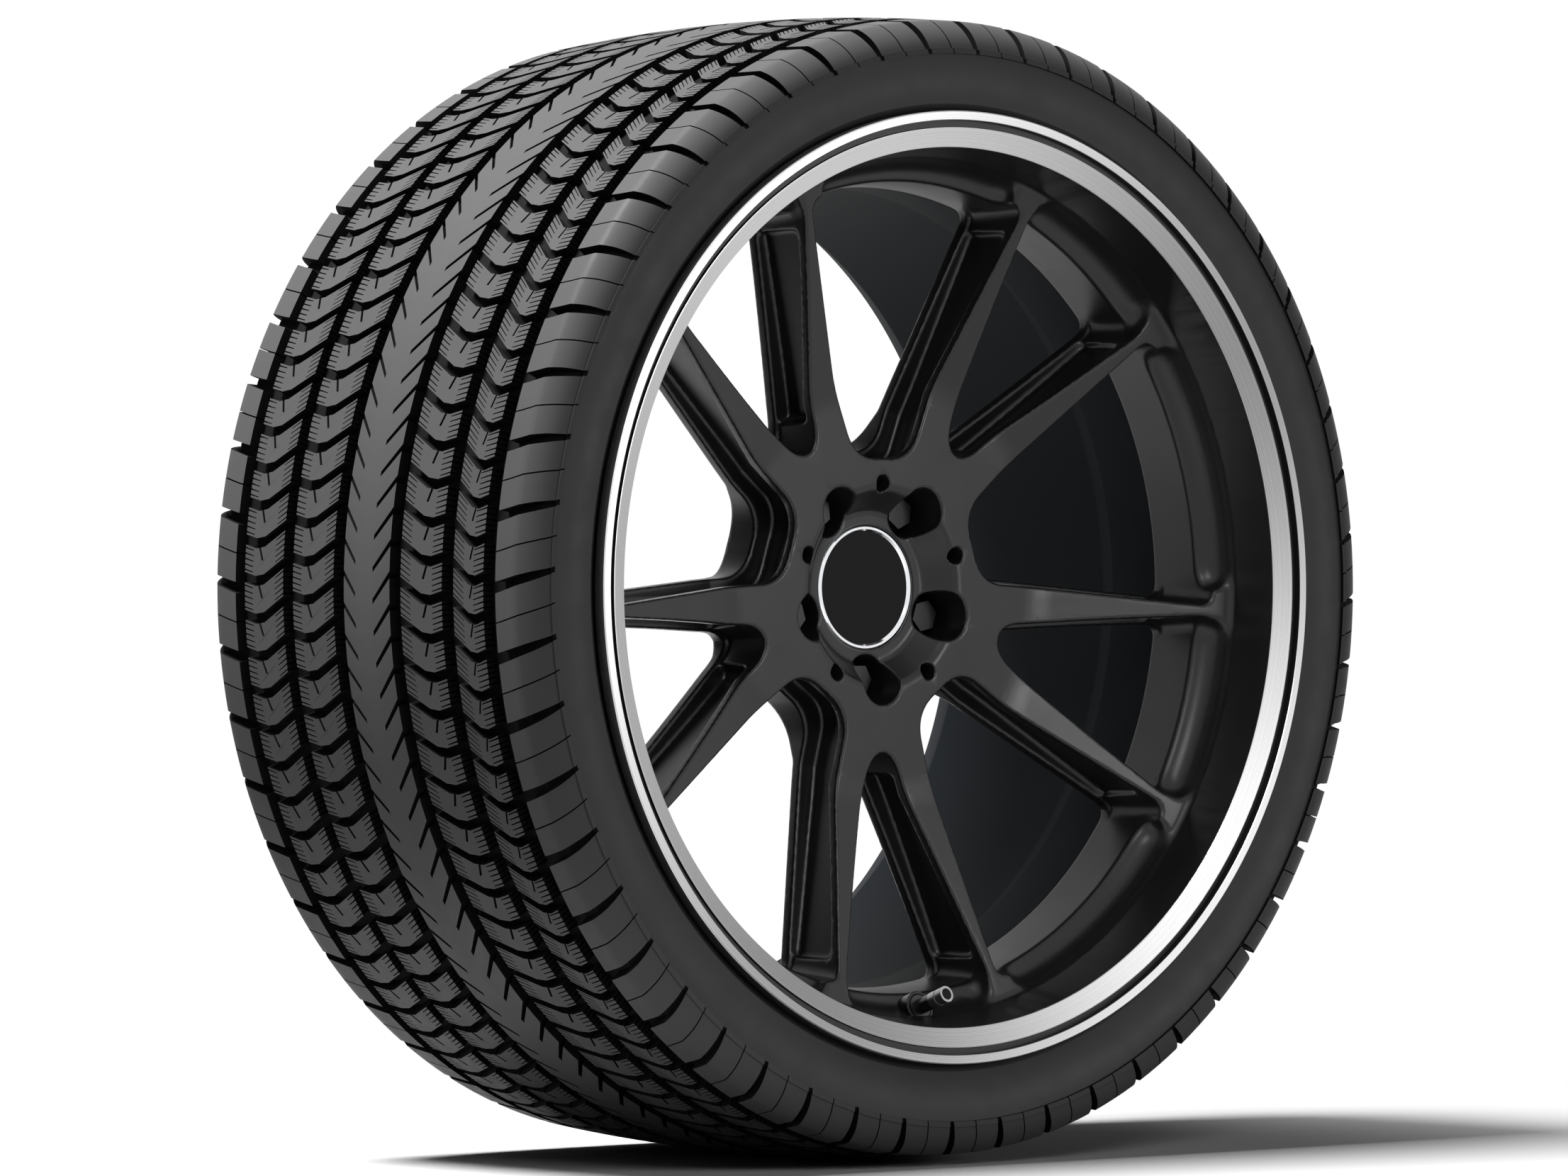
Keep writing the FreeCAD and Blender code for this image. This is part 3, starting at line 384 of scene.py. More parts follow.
def block_outline(rib_side, outer_side, start):
    """An arrow-shaped block: its point leads, and thin sipes run in from both sides."""
    width = abs(outer_side - rib_side)
    reach = SIPE_REACH / width
    centres = BLOCK_LENGTH * (np.arange(SIPES) + 0.5) / SIPES

    def side(u, inward):
        run = [(u, 0.0)]
        for centre in centres:
            run += [(u, centre - SIPE_HALF), (u + inward, centre - SIPE_HALF * 0.6),
                    (u + inward, centre + SIPE_HALF * 0.6), (u, centre + SIPE_HALF)]
        return run + [(u, BLOCK_LENGTH)]

    front = [(0.5, BLOCK_LENGTH), (0.72, BLOCK_LENGTH)]
    notch = [(0.72, 0.0), (0.65, 0.0), (0.57, 8.0), (0.52, 8.0), (0.60, 0.0), (0.5, 0.0)]
    flat = side(0.0, reach) + front + side(1.0, -reach)[::-1] + notch
    u, s = np.array(flat).T
    lead = np.interp(u, [0, 0.5, 0.72, 1], [0, 9.6, 10.6, 8.2])
    return np.stack([start + s + lead, rib_side + (outer_side - rib_side) * u], axis=-1)


half = GROOVE_WIDTH / 2
rows = (
    (GROOVES[2] - half, GROOVES[1] + half, 0.0),
    (GROOVES[1] - half, GROOVES[0] + half, PITCH / 2),
    (GROOVES[3] + half, GROOVES[4] - half, 0.0),
    (GROOVES[4] + half, GROOVES[5] - half, PITCH / 2),
)
for rib_side, outer_side, start in rows:
    prism(tread, block_outline(rib_side, outer_side, start), BLOCKS)
print("with block rows:", tread.count)

# %% [markdown]
# ## Centre rib
# The rib keeps the car straight. It is one unbroken band with slanting slits on both edges.
# It is made cell by cell, and neighbouring cells share their points, so the band closes without a seam.

# %% Centre rib
RIB_CELLS = 116
RIB_OUT, RIB_IN, RIB_MIDDLE = GROOVES[2] + half, GROOVES[3] - half, -12.0
OUT_LEAD, IN_LEAD = 17.0, 4.5
OUT_START, OUT_STOP, OUT_RUN, OUT_REACH, OUT_END = 9.0, 13.4, 16.5, 15.5, 3.2
IN_START, IN_STOP, IN_RUN, IN_REACH, IN_END = 4.0, 7.6, 13.0, 10.5, 3.0


def rib_cell():
    """Outboard and inboard edges of one herringbone cell, each with its slit."""
    out_tip, in_tip = OUT_START + OUT_RUN, IN_LEAD + IN_START + IN_RUN
    outboard = [(0.0, RIB_OUT), (OUT_START, RIB_OUT), (out_tip, RIB_OUT + OUT_REACH),
                (out_tip + OUT_END, RIB_OUT + OUT_REACH), (OUT_STOP, RIB_OUT)]
    inboard = [(IN_LEAD, RIB_IN), (IN_LEAD + IN_START, RIB_IN), (in_tip, RIB_IN - IN_REACH),
               (in_tip + IN_END, RIB_IN - IN_REACH), (IN_LEAD + IN_STOP, RIB_IN)]
    return np.array(outboard), np.array([(OUT_LEAD, RIB_MIDDLE)]), np.array(inboard)


def rib(store):
    out, middle, inn = rib_cell()
    cell = np.concatenate([out, middle, inn])
    size = len(cell)
    per_cell = 2 * size
    faces, kinds, points = [], [], []
    total = RIB_CELLS * per_cell
    for copy in range(RIB_CELLS):
        angle = FULL_TURN * copy / RIB_CELLS
        for depth in (0.0, GROOVE_DEPTH + SUNK):
            points.append(turned_by(on_tread(cell, depth), angle))
        base, after = copy * per_cell, (copy + 1) * per_cell % total
        out_edge = [base + i for i in range(len(out))] + [after]
        seam_after = [after + len(out)]
        in_edge = [base + len(out) + 1 + i for i in range(len(inn))] + [after + len(out) + 1]
        top = out_edge + seam_after + in_edge[::-1] + [base + len(out)]
        faces.append(top[::-1])
        faces.append([corner + size for corner in top])
        faces += [(a, b, b + size, a + size) for a, b in zip(out_edge, out_edge[1:])]
        faces += [(b, a, a + size, b + size) for a, b in zip(in_edge, in_edge[1:])]
        kinds += [TOP] + [GROOVE] * (len(faces) - len(kinds) - 1)
    store.add(np.concatenate(points), faces, kinds)


rib(tread)
print("with rib:", tread.count)

# %% [markdown]
# ## Shoulders
# The shoulder blocks wrap over the edge of the tread and end in a small step on the sidewall.
# Their cuts sweep back and grow shallow towards the sidewall.
# A strip between two cuts follows the profile, so each block is a bent grid with a top and a floor.

# %% Shoulders
SHOULDER_BLOCKS = 52
SHOULDER_RADIUS = 340.0
SHOULDER_PITCH = FULL_TURN * SHOULDER_RADIUS / SHOULDER_BLOCKS
SHOULDER_SWEEP, SHOULDER_SIPE = 11.5, 0.45


def shoulder_block(side, low, high, top, floor):
    """One block between two lateral cuts that sweep back towards the sidewall."""
    rows = len(top)
    points = []
    for profile in (top, floor):
        for across in np.linspace(0, 1, 3):
            s = low + (high - low) * across
            points.append(around(profile[:, 0], s / SHOULDER_RADIUS, profile[:, 1]))
    points = np.concatenate(points)

    def at(layer, column, row):
        return (layer * 3 + column) * rows + row

    faces = []
    for row in range(rows - 1):
        for column in range(2):
            faces.append([at(0, c, r) for c, r in
                          ((column, row), (column + 1, row), (column + 1, row + 1), (column, row + 1))])
    tops = len(faces)
    for row in range(rows - 1):
        for column in range(2):
            faces.append([at(1, c, r) for c, r in
                          ((column, row + 1), (column + 1, row + 1), (column + 1, row), (column, row))])
        faces.append([at(0, 0, row), at(0, 0, row + 1), at(1, 0, row + 1), at(1, 0, row)])
        faces.append([at(0, 2, row + 1), at(0, 2, row), at(1, 2, row), at(1, 2, row + 1)])
    for column in range(2):
        faces.append([at(0, column + 1, 0), at(0, column, 0), at(1, column, 0), at(1, column + 1, 0)])
        last = rows - 1
        faces.append([at(0, column, last), at(0, column + 1, last),
                      at(1, column + 1, last), at(1, column, last)])
    if side > 0:
        faces = [face[::-1] for face in faces]
    return points, faces, [TOP] * tops + [GROOVE] * (len(faces) - tops)


for side in (-1, 1):
    top, floor, run = shoulder_profile(side)
    sunk = floor + (floor - top) * (SUNK / np.hypot(*(floor - top).T))[:, None]
    sweep = -SHOULDER_SWEEP * run ** 1.1
    gap = np.interp(run, [0, 0.6, 1], [3.4, 2.8, 1.6])
    middle = sweep + SHOULDER_PITCH / 2
    cuts = ((sweep + gap, middle - SHOULDER_SIPE), (middle + SHOULDER_SIPE, sweep + SHOULDER_PITCH - gap))
    for low, high in cuts:
        points, faces, kinds = shoulder_block(side, low, high, top, sunk)
        for copy in range(SHOULDER_BLOCKS):
            tread.add(turned_by(points, FULL_TURN * copy / SHOULDER_BLOCKS), faces, kinds)

tyre = tread.make("tyre_tread", rubber, groove_painted_shade, wall_rubber)
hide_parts("tyre")
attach(tyre, "wheel")
tyre.data.calc_loop_triangles()
print("tyre triangles:", len(tyre.data.loop_triangles))

# %% [markdown]
# ## Forged wheel
# A forging is one lump with a radius on every edge, and a bevel modifier fails where so many cuts meet.
# So the disc is a distance field: a formula that is negative inside the metal and positive outside.
# The turned section is the start, and windows, scoops, channels, pockets and holes are taken from it.

# %% Sizes of the disc
TENTH = math.radians(36.0)
SPOKE_ANGLE = math.radians(15.5)
DRAFT = math.tan(math.radians(4.0))
HUB_FRONT, TIP_FRONT, BEND, TIP = 79.0, 115.0, 126.0, 258.0
BACK_FRONT, BACK_BEND, WELL_FRONT, WELL_INSIDE = 40.0, 112.0, 62.0, 243.3
WINDOW_END, SCOOP_BACK, SCOOP_FLOOR = 242.0, 97.0, 251.0
FRONT_FLANGE, BACK_FLANGE, HALF_WEB, LEDGE, CHANNEL_END = 7.0, 8.0, 4.5, 2.0, 231.0
HALF_FACE_AT_HUB, HALF_FACE_AT_TIP = 13.0, 6.2
NARROW_START, NARROW_FLANK = 100.0, ((100, 10.5), (124.9, 21.1))
WIDE_START, WIDE_FLANK = 78.0, ((78, 13.5), (122.6, 31.95))
SCOOP_SLOPE, SCOOP_TOP, SCOOP_TOP_AT, SCOOP_TOP_SLOPE = 0.4, 257.0, 112.0, 0.171
SCOOP_SIDE_GAP, SCOOP_INNER = 2.0, 225.0
HUB_CHANNEL_DEPTH, WIDE_CHANNEL_START = 8.5, 60.0
BOLT_CIRCLE, BOLT_POCKET, POCKET_FLOOR, BOLT_HOLE = 56.0, 14.85, 41.0, 7.6
HOLLOW_CIRCLE, HOLLOW_RADIUS, HOLLOW_FLOOR = 63.0, 5.0, 61.0
print("disc: hub face at", HUB_FRONT, "and spoke tips at", TIP_FRONT, "outboard of the centre plane")

# %% [markdown]
# ## Soft cuts
# The larger of two distances is where both forms overlap, with a hard edge between them.
# A smooth maximum adds a little near that edge, which is the radius that a forging has there.

# %% Soft cuts


def smooth_max(a, b, blend):
    reach = np.maximum(blend - np.abs(a - b), 0) / blend
    return np.maximum(a, b) + reach * reach * blend / 4


def smooth_min(a, b, blend):
    return -smooth_max(-a, -b, blend)


def rounded(corners):
    """An outline with the corner radius that each corner names."""
    outline = []
    for i, (x, y, radius) in enumerate(corners):
        here = np.array([x, y])
        if radius == 0:
            outline.append(here)
            continue
        before = np.array(corners[i - 1][:2]) - here
        after = np.array(corners[(i + 1) % len(corners)][:2]) - here
        before, after = before / np.hypot(*before), after / np.hypot(*after)
        half_angle = math.acos(np.clip(before @ after, -1, 1)) / 2
        inward = (before + after) / np.hypot(*(before + after))
        centre = here + inward * radius / math.sin(half_angle)
        start = here + before * radius / math.tan(half_angle) - centre
        stop = here + after * radius / math.tan(half_angle) - centre
        first = math.atan2(start[1], start[0])
        swing = (math.atan2(stop[1], stop[0]) - first + math.pi) % FULL_TURN - math.pi
        for angle in first + swing * np.linspace(0, 1, 7):
            outline.append(centre + radius * np.array([math.cos(angle), math.sin(angle)]))
    return np.array(outline)


print("soft cuts: smooth_max, smooth_min, rounded")

# %% Turned section of the disc
DISC_SECTION = rounded([
    (33.3, 22, 0), (78, 22, 1), (BACK_BEND, BACK_FRONT, 10), (WELL_INSIDE, WELL_FRONT, 0), (249.6, 62, 0),
    (266.0, 116, 0), (267.5, 146, 0), (263.3, 146, 0.5), (TIP, TIP_FRONT, 6), (BEND, HUB_FRONT, 90),
    (60, HUB_FRONT, 8), (46, 63, 5), (38.1, 63, 0.6), (38.1, 56, 0), (33.9, 56, 0), (33.9, 48, 0),
    (35.1, 48, 0), (35.1, 42, 0), (33.3, 42, 0),
])


def section_distance(r, w):
    """Signed distance to the turned section, with w the distance outboard of the centre plane."""
    r, w = np.broadcast_arrays(r, w)
    nearest = np.full(r.shape, np.inf)
    inside = np.zeros(r.shape, bool)
    for (ar, aw), (br, bw) in zip(DISC_SECTION, np.roll(DISC_SECTION, -1, axis=0)):
        er, ew = br - ar, bw - aw
        t = np.clip(((r - ar) * er + (w - aw) * ew) / (er * er + ew * ew), 0, 1)
        nearest = np.minimum(nearest, (r - ar - t * er) ** 2 + (w - aw - t * ew) ** 2)
        if ew != 0:
            inside ^= ((aw > w) != (bw > w)) & (r < ar + (w - aw) * er / ew)
    return np.where(inside, -1, 1) * np.sqrt(nearest)


def line_side(p, q, start, stop):
    """Distance to the left of the line from start to stop."""
    run = np.subtract(stop, start) / np.hypot(*np.subtract(stop, start))
    return (q - start[1]) * run[0] - (p - start[0]) * run[1]


print("points of the turned section:", len(DISC_SECTION))

# %% [markdown]
# ## Spokes and windows
# Ten spokes in five pairs leave five narrow and five wide windows, and each half pair mirrors the next.
# So the formula folds the angle into one tenth of a turn and describes one spoke between two half windows.
# Each flank is milled out between two flanges, which makes an I-beam, and scoops lighten the rim end.

# %% Disc as a distance field


def disc_distance(r, phi, w, blank=None):
    """Signed distance to the disc, with phi measured from the middle of a pair of spokes."""
    phi = np.abs((phi + TENTH) % (2 * TENTH) - TENTH)
    solid = section_distance(r, w) if blank is None else blank
    along, across = r * np.cos(phi - SPOKE_ANGLE), r * np.sin(phi - SPOKE_ANGLE)
    past_bend = np.maximum(along - BEND, 0)
    front = HUB_FRONT + past_bend * (TIP_FRONT - HUB_FRONT) / (TIP - BEND)
    rise = (WELL_FRONT - BACK_FRONT) / (WELL_INSIDE - BACK_BEND)
    back = BACK_FRONT + np.maximum(along - BACK_BEND, 0) * rise
    half_face = HALF_FACE_AT_HUB - past_bend * (HALF_FACE_AT_HUB - HALF_FACE_AT_TIP) / (TIP - BEND)
    ledge = LEDGE / (1 + np.exp(np.clip((w - back - BACK_FLANGE) / 0.5, -40, 40)))
    deeper = DRAFT * (front - w) + ledge
    at_hub = DRAFT * (HUB_FRONT - w) + ledge
    rim = r - WINDOW_END - DRAFT * (w - WELL_FRONT)

    p, q = r * np.cos(phi), r * np.sin(phi)
    narrow = smooth_max(NARROW_START + at_hub - p, line_side(p, q, *NARROW_FLANK) + at_hub, 12)
    narrow = smooth_max(narrow, half_face + deeper + across, 14)
    narrow = smooth_max(narrow, rim, 10)
    p2, q2 = r * np.cos(TENTH - phi), r * np.sin(TENTH - phi)
    wide = smooth_min(line_side(p2, q2, *WIDE_FLANK) + at_hub, half_face + deeper - across, 30)
    wide = smooth_max(wide, WIDE_START + at_hub - p2, 16)
    wide = smooth_max(wide, rim, 10)
    solid = smooth_max(solid, -np.minimum(narrow, wide), 2.2)

    scoop_wall = np.minimum(SCOOP_FLOOR + (w - SCOOP_BACK) * SCOOP_SLOPE,
                            SCOOP_TOP + (w - SCOOP_TOP_AT) * SCOOP_TOP_SLOPE)
    scoop = smooth_max(r - scoop_wall, half_face + SCOOP_SIDE_GAP - np.abs(across), 16)
    scoop = smooth_max(scoop, SCOOP_BACK - w, 12)
    scoop = smooth_max(scoop, SCOOP_INNER - r, 2)
    solid = smooth_max(solid, -scoop, 3)

    depth = np.where(along > BEND, half_face - HALF_WEB, HUB_CHANNEL_DEPTH) + deeper / 2
    band = smooth_max(w - front + FRONT_FLANGE, back + BACK_FLANGE - w, 4)
    band = smooth_max(band, r - CHANNEL_END, 6)
    for window, start in ((narrow, BACK_BEND), (wide, WIDE_CHANNEL_START)):
        channel = smooth_max(smooth_max(band, window - depth, 4), start - along, 6)
        solid = smooth_max(solid, -channel, 1.6)

    bolt = np.hypot(p - BOLT_CIRCLE, q)
    solid = smooth_max(solid, -smooth_max(bolt - BOLT_POCKET, POCKET_FLOOR - w, 3), 2.2)
    solid = np.maximum(solid, BOLT_HOLE - bolt)
    hollow = smooth_max(np.hypot(p2 - HOLLOW_CIRCLE, q2) - HOLLOW_RADIUS, HOLLOW_FLOOR - w, 2)
    return smooth_max(solid, -hollow, 1.6)


hub_point = (np.array(value) for value in (90.0, 0.0, 70.0))
print("distance in the middle of the hub:", round(float(disc_distance(*hub_point)), 2), "mm")

# %% [markdown]
# ## From the field to a mesh
# A grid of cells is laid over one tenth of the disc, and every cell that the surface crosses gets one point.
# The points then slide along the slope of the field until they lie on the surface, which keeps edges crisp.
# Last, a Decimate modifier takes out the points that flat places don't need.

# %% Cells on the surface
CELL_SIZE = 1.4
KEPT_SHARE = 0.125


def crossing_cells(values, axes):
    """One point in every grid cell that the surface crosses, and a quad for every crossed grid edge."""
    inside = values < 0
    shape = tuple(size - 1 for size in values.shape)
    corners = [(a, b, c) for a in (0, 1) for b in (0, 1) for c in (0, 1)]
    filled = sum(inside[a:a + shape[0], b:b + shape[1], c:c + shape[2]].astype(int) for a, b, c in corners)
    active = (filled > 0) & (filled < 8)
    index = np.full(shape, -1)
    index[active] = np.arange(active.sum())
    cells = np.argwhere(active)
    total, hits = np.zeros((len(cells), 3)), np.zeros(len(cells))
    for corner in corners:
        for axis in range(3):
            if corner[axis]:
                continue
            other = list(corner)
            other[axis] = 1
            low, high = values[tuple((cells + corner).T)], values[tuple((cells + other).T)]
            hit = (low < 0) != (high < 0)
            point = np.stack([axes[k][cells[:, k] + corner[k]] for k in range(3)], axis=-1)
            share = np.where(hit, low / np.where(hit, low - high, 1), 0)
            point[:, axis] += share * (axes[axis][1] - axes[axis][0])
            total += point * hit[:, None]
            hits += hit
    quads = []
    for axis in range(3):
        u, v = (axis + 1) % 3, (axis + 2) % 3
        lower, upper = np.delete(inside, -1, axis), np.delete(inside, 0, axis)
        edges = np.argwhere(lower != upper)
        kept = (edges[:, u] > 0) & (edges[:, v] > 0)
        kept &= (edges[:, u] < values.shape[u] - 1) & (edges[:, v] < values.shape[v] - 1)
        edges = edges[kept]
        ring = []
        for du, dv in ((-1, -1), (0, -1), (0, 0), (-1, 0)):
            cell = edges.copy()
            cell[:, u] += du
            cell[:, v] += dv
            ring.append(index[tuple(cell.T)])
        ring = np.stack(ring, axis=-1)
        backward = lower[tuple(edges.T)]
        ring[backward] = ring[backward][:, ::-1]
        quads.append(ring)
    return total / hits[:, None], np.concatenate(quads)


print("cells of", CELL_SIZE, "mm, and a share of", KEPT_SHARE, "of the triangles is kept")

# %% Settling and thinning


def settle(points, step=0.05, rounds=4):
    """Moves points on to the surface along its slope. The mirror planes keep theirs."""
    on_mirror = (np.abs(points[:, 1]) < 1e-9) | (np.abs(points[:, 1] - TENTH) < 1e-9)
    for _ in range(rounds):
        r, phi, w = points.T
        gap = disc_distance(r, phi, w)
        slope_r = (disc_distance(r + step, phi, w) - gap) / step
        slope_p = (disc_distance(r, phi + step / r, w) - gap) / step
        slope_w = (disc_distance(r, phi, w + step) - gap) / step
        move = 0.8 * np.clip(gap / (slope_r ** 2 + slope_p ** 2 + slope_w ** 2 + 1e-6), -1, 1)
        turn = np.where(on_mirror, 0, move * slope_p / r)
        points = np.stack([r - move * slope_r, phi - turn, w - move * slope_w], axis=-1)
    return points


def thinned(points, quads, share):
    """The same surface with fewer triangles."""
    mesh = bpy.data.meshes.new("tenth")
    mesh.from_pydata(points.tolist(), [], quads.tolist())
    holder = bpy.data.objects.new("tenth", mesh)
    bpy.context.collection.objects.link(holder)
    holder.modifiers.new("thin", "DECIMATE").ratio = share
    result = holder.evaluated_get(bpy.context.evaluated_depsgraph_get()).to_mesh()
    result.calc_loop_triangles()
    points = np.empty(len(result.vertices) * 3)
    result.vertices.foreach_get("co", points)
    triangles = np.empty(len(result.loop_triangles) * 3, int)
    result.loop_triangles.foreach_get("vertices", triangles)
    bpy.data.objects.remove(holder)
    bpy.data.meshes.remove(mesh)
    return points.reshape(-1, 3), triangles.reshape(-1, 3)


print("helpers: settle, thinned")

# %% One tenth of the disc


def disc_tenth():
    columns = round(TENTH * TIP / CELL_SIZE)
    axes = (np.arange(31, 270, CELL_SIZE), (np.arange(columns + 2) - 0.5) * TENTH / columns,
            np.arange(19.3, 149, CELL_SIZE))
    r, phi, w = np.meshgrid(*axes, indexing="ij")
    blank = np.broadcast_to(section_distance(r[:, :1], w[:, :1]), r.shape)
    points, quads = crossing_cells(disc_distance(r, phi, w, blank), axes)
    r, phi, w = settle(points).T
    flat = np.stack([r * np.cos(phi), r * np.sin(phi), w], axis=-1)
    points, triangles = thinned(flat, quads, KEPT_SHARE)
    r, phi = np.hypot(points[:, 0], points[:, 1]), np.arctan2(points[:, 1], points[:, 0])
    sides = np.concatenate([triangles[:, pair] for pair in ([0, 1], [1, 2], [2, 0])])
    sides = np.sort(sides, axis=1)
    sides, uses = np.unique(sides, axis=0, return_counts=True)
    rim = np.unique(sides[uses == 1])
    phi[rim] = np.where(phi[rim] < TENTH / 2, 0, TENTH)
    return r, phi, points[:, 2], triangles


r, phi, w, triangles = disc_tenth()
print("triangles of one tenth:", len(triangles))

# %% [markdown]
# ## The whole disc
# A mirror modifier needs a helper object for each slanting plane, so the tenth is turned by hand.
# Every second copy is mirrored, the shared edges are welded, and weighted normals keep the flat faces flat.

# %% Whole disc
SHARP_ANGLE, WELD_DISTANCE = 50, 0.002
disc = Pieces()
for pair in range(5):
    for hand in (1, -1):
        angle = -math.pi / 2 + hand * phi + 2 * TENTH * pair
        disc.add(around(r, angle, -w), (triangles[:, ::-1] if hand > 0 else triangles).tolist())
wheel_disc = disc.make("wheel_disc", satin_black, sharp=SHARP_ANGLE)
joined = bmesh.new()
joined.from_mesh(wheel_disc.data)
bmesh.ops.remove_doubles(joined, verts=joined.verts, dist=WELD_DISTANCE * MM)
joined.to_mesh(wheel_disc.data)
joined.free()
wheel_disc.data.set_sharp_from_angle(angle=math.radians(SHARP_ANGLE))
even = wheel_disc.modifiers.new("even_shading", "WEIGHTED_NORMAL")
even.keep_sharp = True
print("disc triangles:", len(wheel_disc.data.polygons))

# %% [markdown]
# ## Barrel and lip
# The barrel is the tube that the tyre sits on, and it is turned, so its section is spun.
# The lip is cut bare after painting, and its groove keeps the black paint.
# Its section is spun the same way, with metal or paint named for each run, so the border is a clean circle.

# %% Barrel
barrel = Pieces()
spin(barrel, [
    (243.3, -62.3), (243.3, -24), (244.3, -21), (252.3, -6), (253.3, -3), (253.3, 127), (255, 130.5),
    (265, 150.5), (267, 152.8), (269, 153.8), (284, 153.8), (285, 152.8), (285, 146), (282, 140),
    (272.7, 140), (267.7, 135), (266.2, 116), (258.8, 106), (258.8, -4), (248.8, -24), (248.8, -62.3),
], 240)
wheel_barrel = barrel.make("wheel_barrel", barrel_black)
print("barrel points:", barrel.count)

# %% Lip
METAL, PAINT = 0, 1
lip_section = [
    (263.3, -146.0, METAL), (263.6, -146.5, METAL), (274.6, -151.3, METAL), (275.1, -151.2, PAINT),
    (275.5, -149.6, PAINT), (279.2, -149.6, PAINT), (279.5, -153.4, METAL), (279.9, -153.8, METAL),
    (284.4, -153.8, METAL), (285.0, -153.2, METAL), (285.0, -146, PAINT), (282, -140, PAINT),
    (272.7, -140, PAINT), (267.7, -135, PAINT), (266.6, -122, PAINT), (264.5, -122, PAINT),
    (264.8, -144, PAINT),
]
lip = Pieces()
spin(lip, [point[:2] for point in lip_section], 320, [point[2] for point in lip_section])
wheel_lip = lip.make("wheel_lip", bare_metal, satin_black)
print("lip points:", lip.count)

# %% [markdown]
# ## Valve seat
# The rubber valve is pulled into a hole near the rim, and a round collar frames it.
# It could be one more cut in the field, but only one tenth has it, so it is a turned ring of its own.

# %% Valve seat
VALVE_PLACE, VALVE_TILT = Vector((0.0, -108.0, -253.5)), math.radians(20.0)
collar = Pieces()
spin(collar, [(8.0, 6.0), (8.0, -3.6), (8.4, -4.0), (9.6, -4.0), (10.0, -3.6), (10.0, 6.0)], 48)
valve_seat = collar.make("valve_seat", satin_black)
valve_seat.data.transform(Matrix.Translation(VALVE_PLACE * MM) @ Matrix.Rotation(-VALVE_TILT, 4, "X"))

for piece in (wheel_disc, wheel_barrel, wheel_lip, valve_seat):
    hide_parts("forged_wheel")
    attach(piece, "wheel")
print("valve seat at", tuple(VALVE_PLACE), "and four pieces in place of the CAD wheel")

# %% [markdown]
# ## Cap, bolts and valve
# The hub cap, the bolts and the valve are small turned parts, and their CAD solids are already true to form.
# So they keep those meshes and only take a finish. The valve cap ends in a dark disc with a bright edge.
# A mask by the distance from the valve's axis draws that disc, and it travels with the cap.

# %% Valve cap end
CAP_END, CAP_END_RADIUS = 29.0, 3.6
CAP_BRIGHT, CAP_DARK = 0.34, 0.012


def cap_end(node):
    """A dark disc inside the bright edge of the cap's end, found by its distance from the valve's axis."""
    group = bpy.data.node_groups.new("cap_end", "ShaderNodeTree")
    group.interface.new_socket("Shade", in_out="OUTPUT", socket_type="NodeSocketColor")
    to_node = node.matrix_world.inverted()
    outward = Vector((0.0, -math.cos(VALVE_TILT), math.sin(VALVE_TILT)))

    def vector_sum(operation, value, *fixed):
        made = group.nodes.new("ShaderNodeVectorMath")
        made.operation = operation
        group.links.new(value, made.inputs[0])
        for number in fixed:
            made.inputs[1].default_value = number
        return made.outputs

    place = group.nodes.new("ShaderNodeTexCoord").outputs["Object"]
    offset = vector_sum("SUBTRACT", place, to_node @ (VALVE_PLACE * MM))["Vector"]
    height = vector_sum("DOT_PRODUCT", offset, to_node.to_3x3() @ outward)["Value"]
    length = vector_sum("LENGTH", offset)["Value"]
    height_squared = calculate(group, "MULTIPLY", height, height)
    off_axis = calculate(group, "SUBTRACT", calculate(group, "MULTIPLY", length, length), height_squared)
    near_axis = calculate(group, "LESS_THAN", off_axis, (CAP_END_RADIUS * MM) ** 2)
    at_end = calculate(group, "GREATER_THAN", height, (CAP_END - 0.2) * MM)
    disc_mask = calculate(group, "MULTIPLY", near_axis, at_end)
    result = group.nodes.new("NodeGroupOutput")
    shade = calculate(group, "MULTIPLY_ADD", disc_mask, CAP_DARK - CAP_BRIGHT, CAP_BRIGHT)
    group.links.new(shade, result.inputs["Shade"])
    return group


use_group(cap_silver, cap_end(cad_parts["valve_cap"]), Shade="Base Color")
print("valve cap end: dark disc of radius", CAP_END_RADIUS, "mm")

# %% CAD pieces
finishes = {
    "wheel_bolts": (dark_bolt, "bolts"),
    "hub_cap_base": (black_plastic, "cap_base"),
    "hub_cap_ring": (chrome, "cap_ring"),
    "hub_cap_disc": (gloss_black, "cap_disc"),
    "valve_rubber": (valve_black, "valve_rubber"),
    "valve_tube": (brass, "valve_brass"),
    "valve_core": (brass, "valve_brass"),
    "valve_pin": (brass, "valve_pin"),
    "valve_cap": (cap_silver, "valve_cap"),
}
for name, (finish, slot) in finishes.items():
    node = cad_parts[name]
    node.data.materials.clear()
    node.data.materials.append(finish)
print("CAD pieces with a finish:", len(finishes))

# %% [markdown]
# ## Studio
# The wheel stands on a pale floor that fades into white, as on a photographer's paper roll.
# The world is white where the camera, gloss or glass looks at it, and gives the surfaces only a weak fill.
# So the background is white without more light on the wheel, and metal still has something to mirror.

# %% World
FILL_LIGHT = 0.05


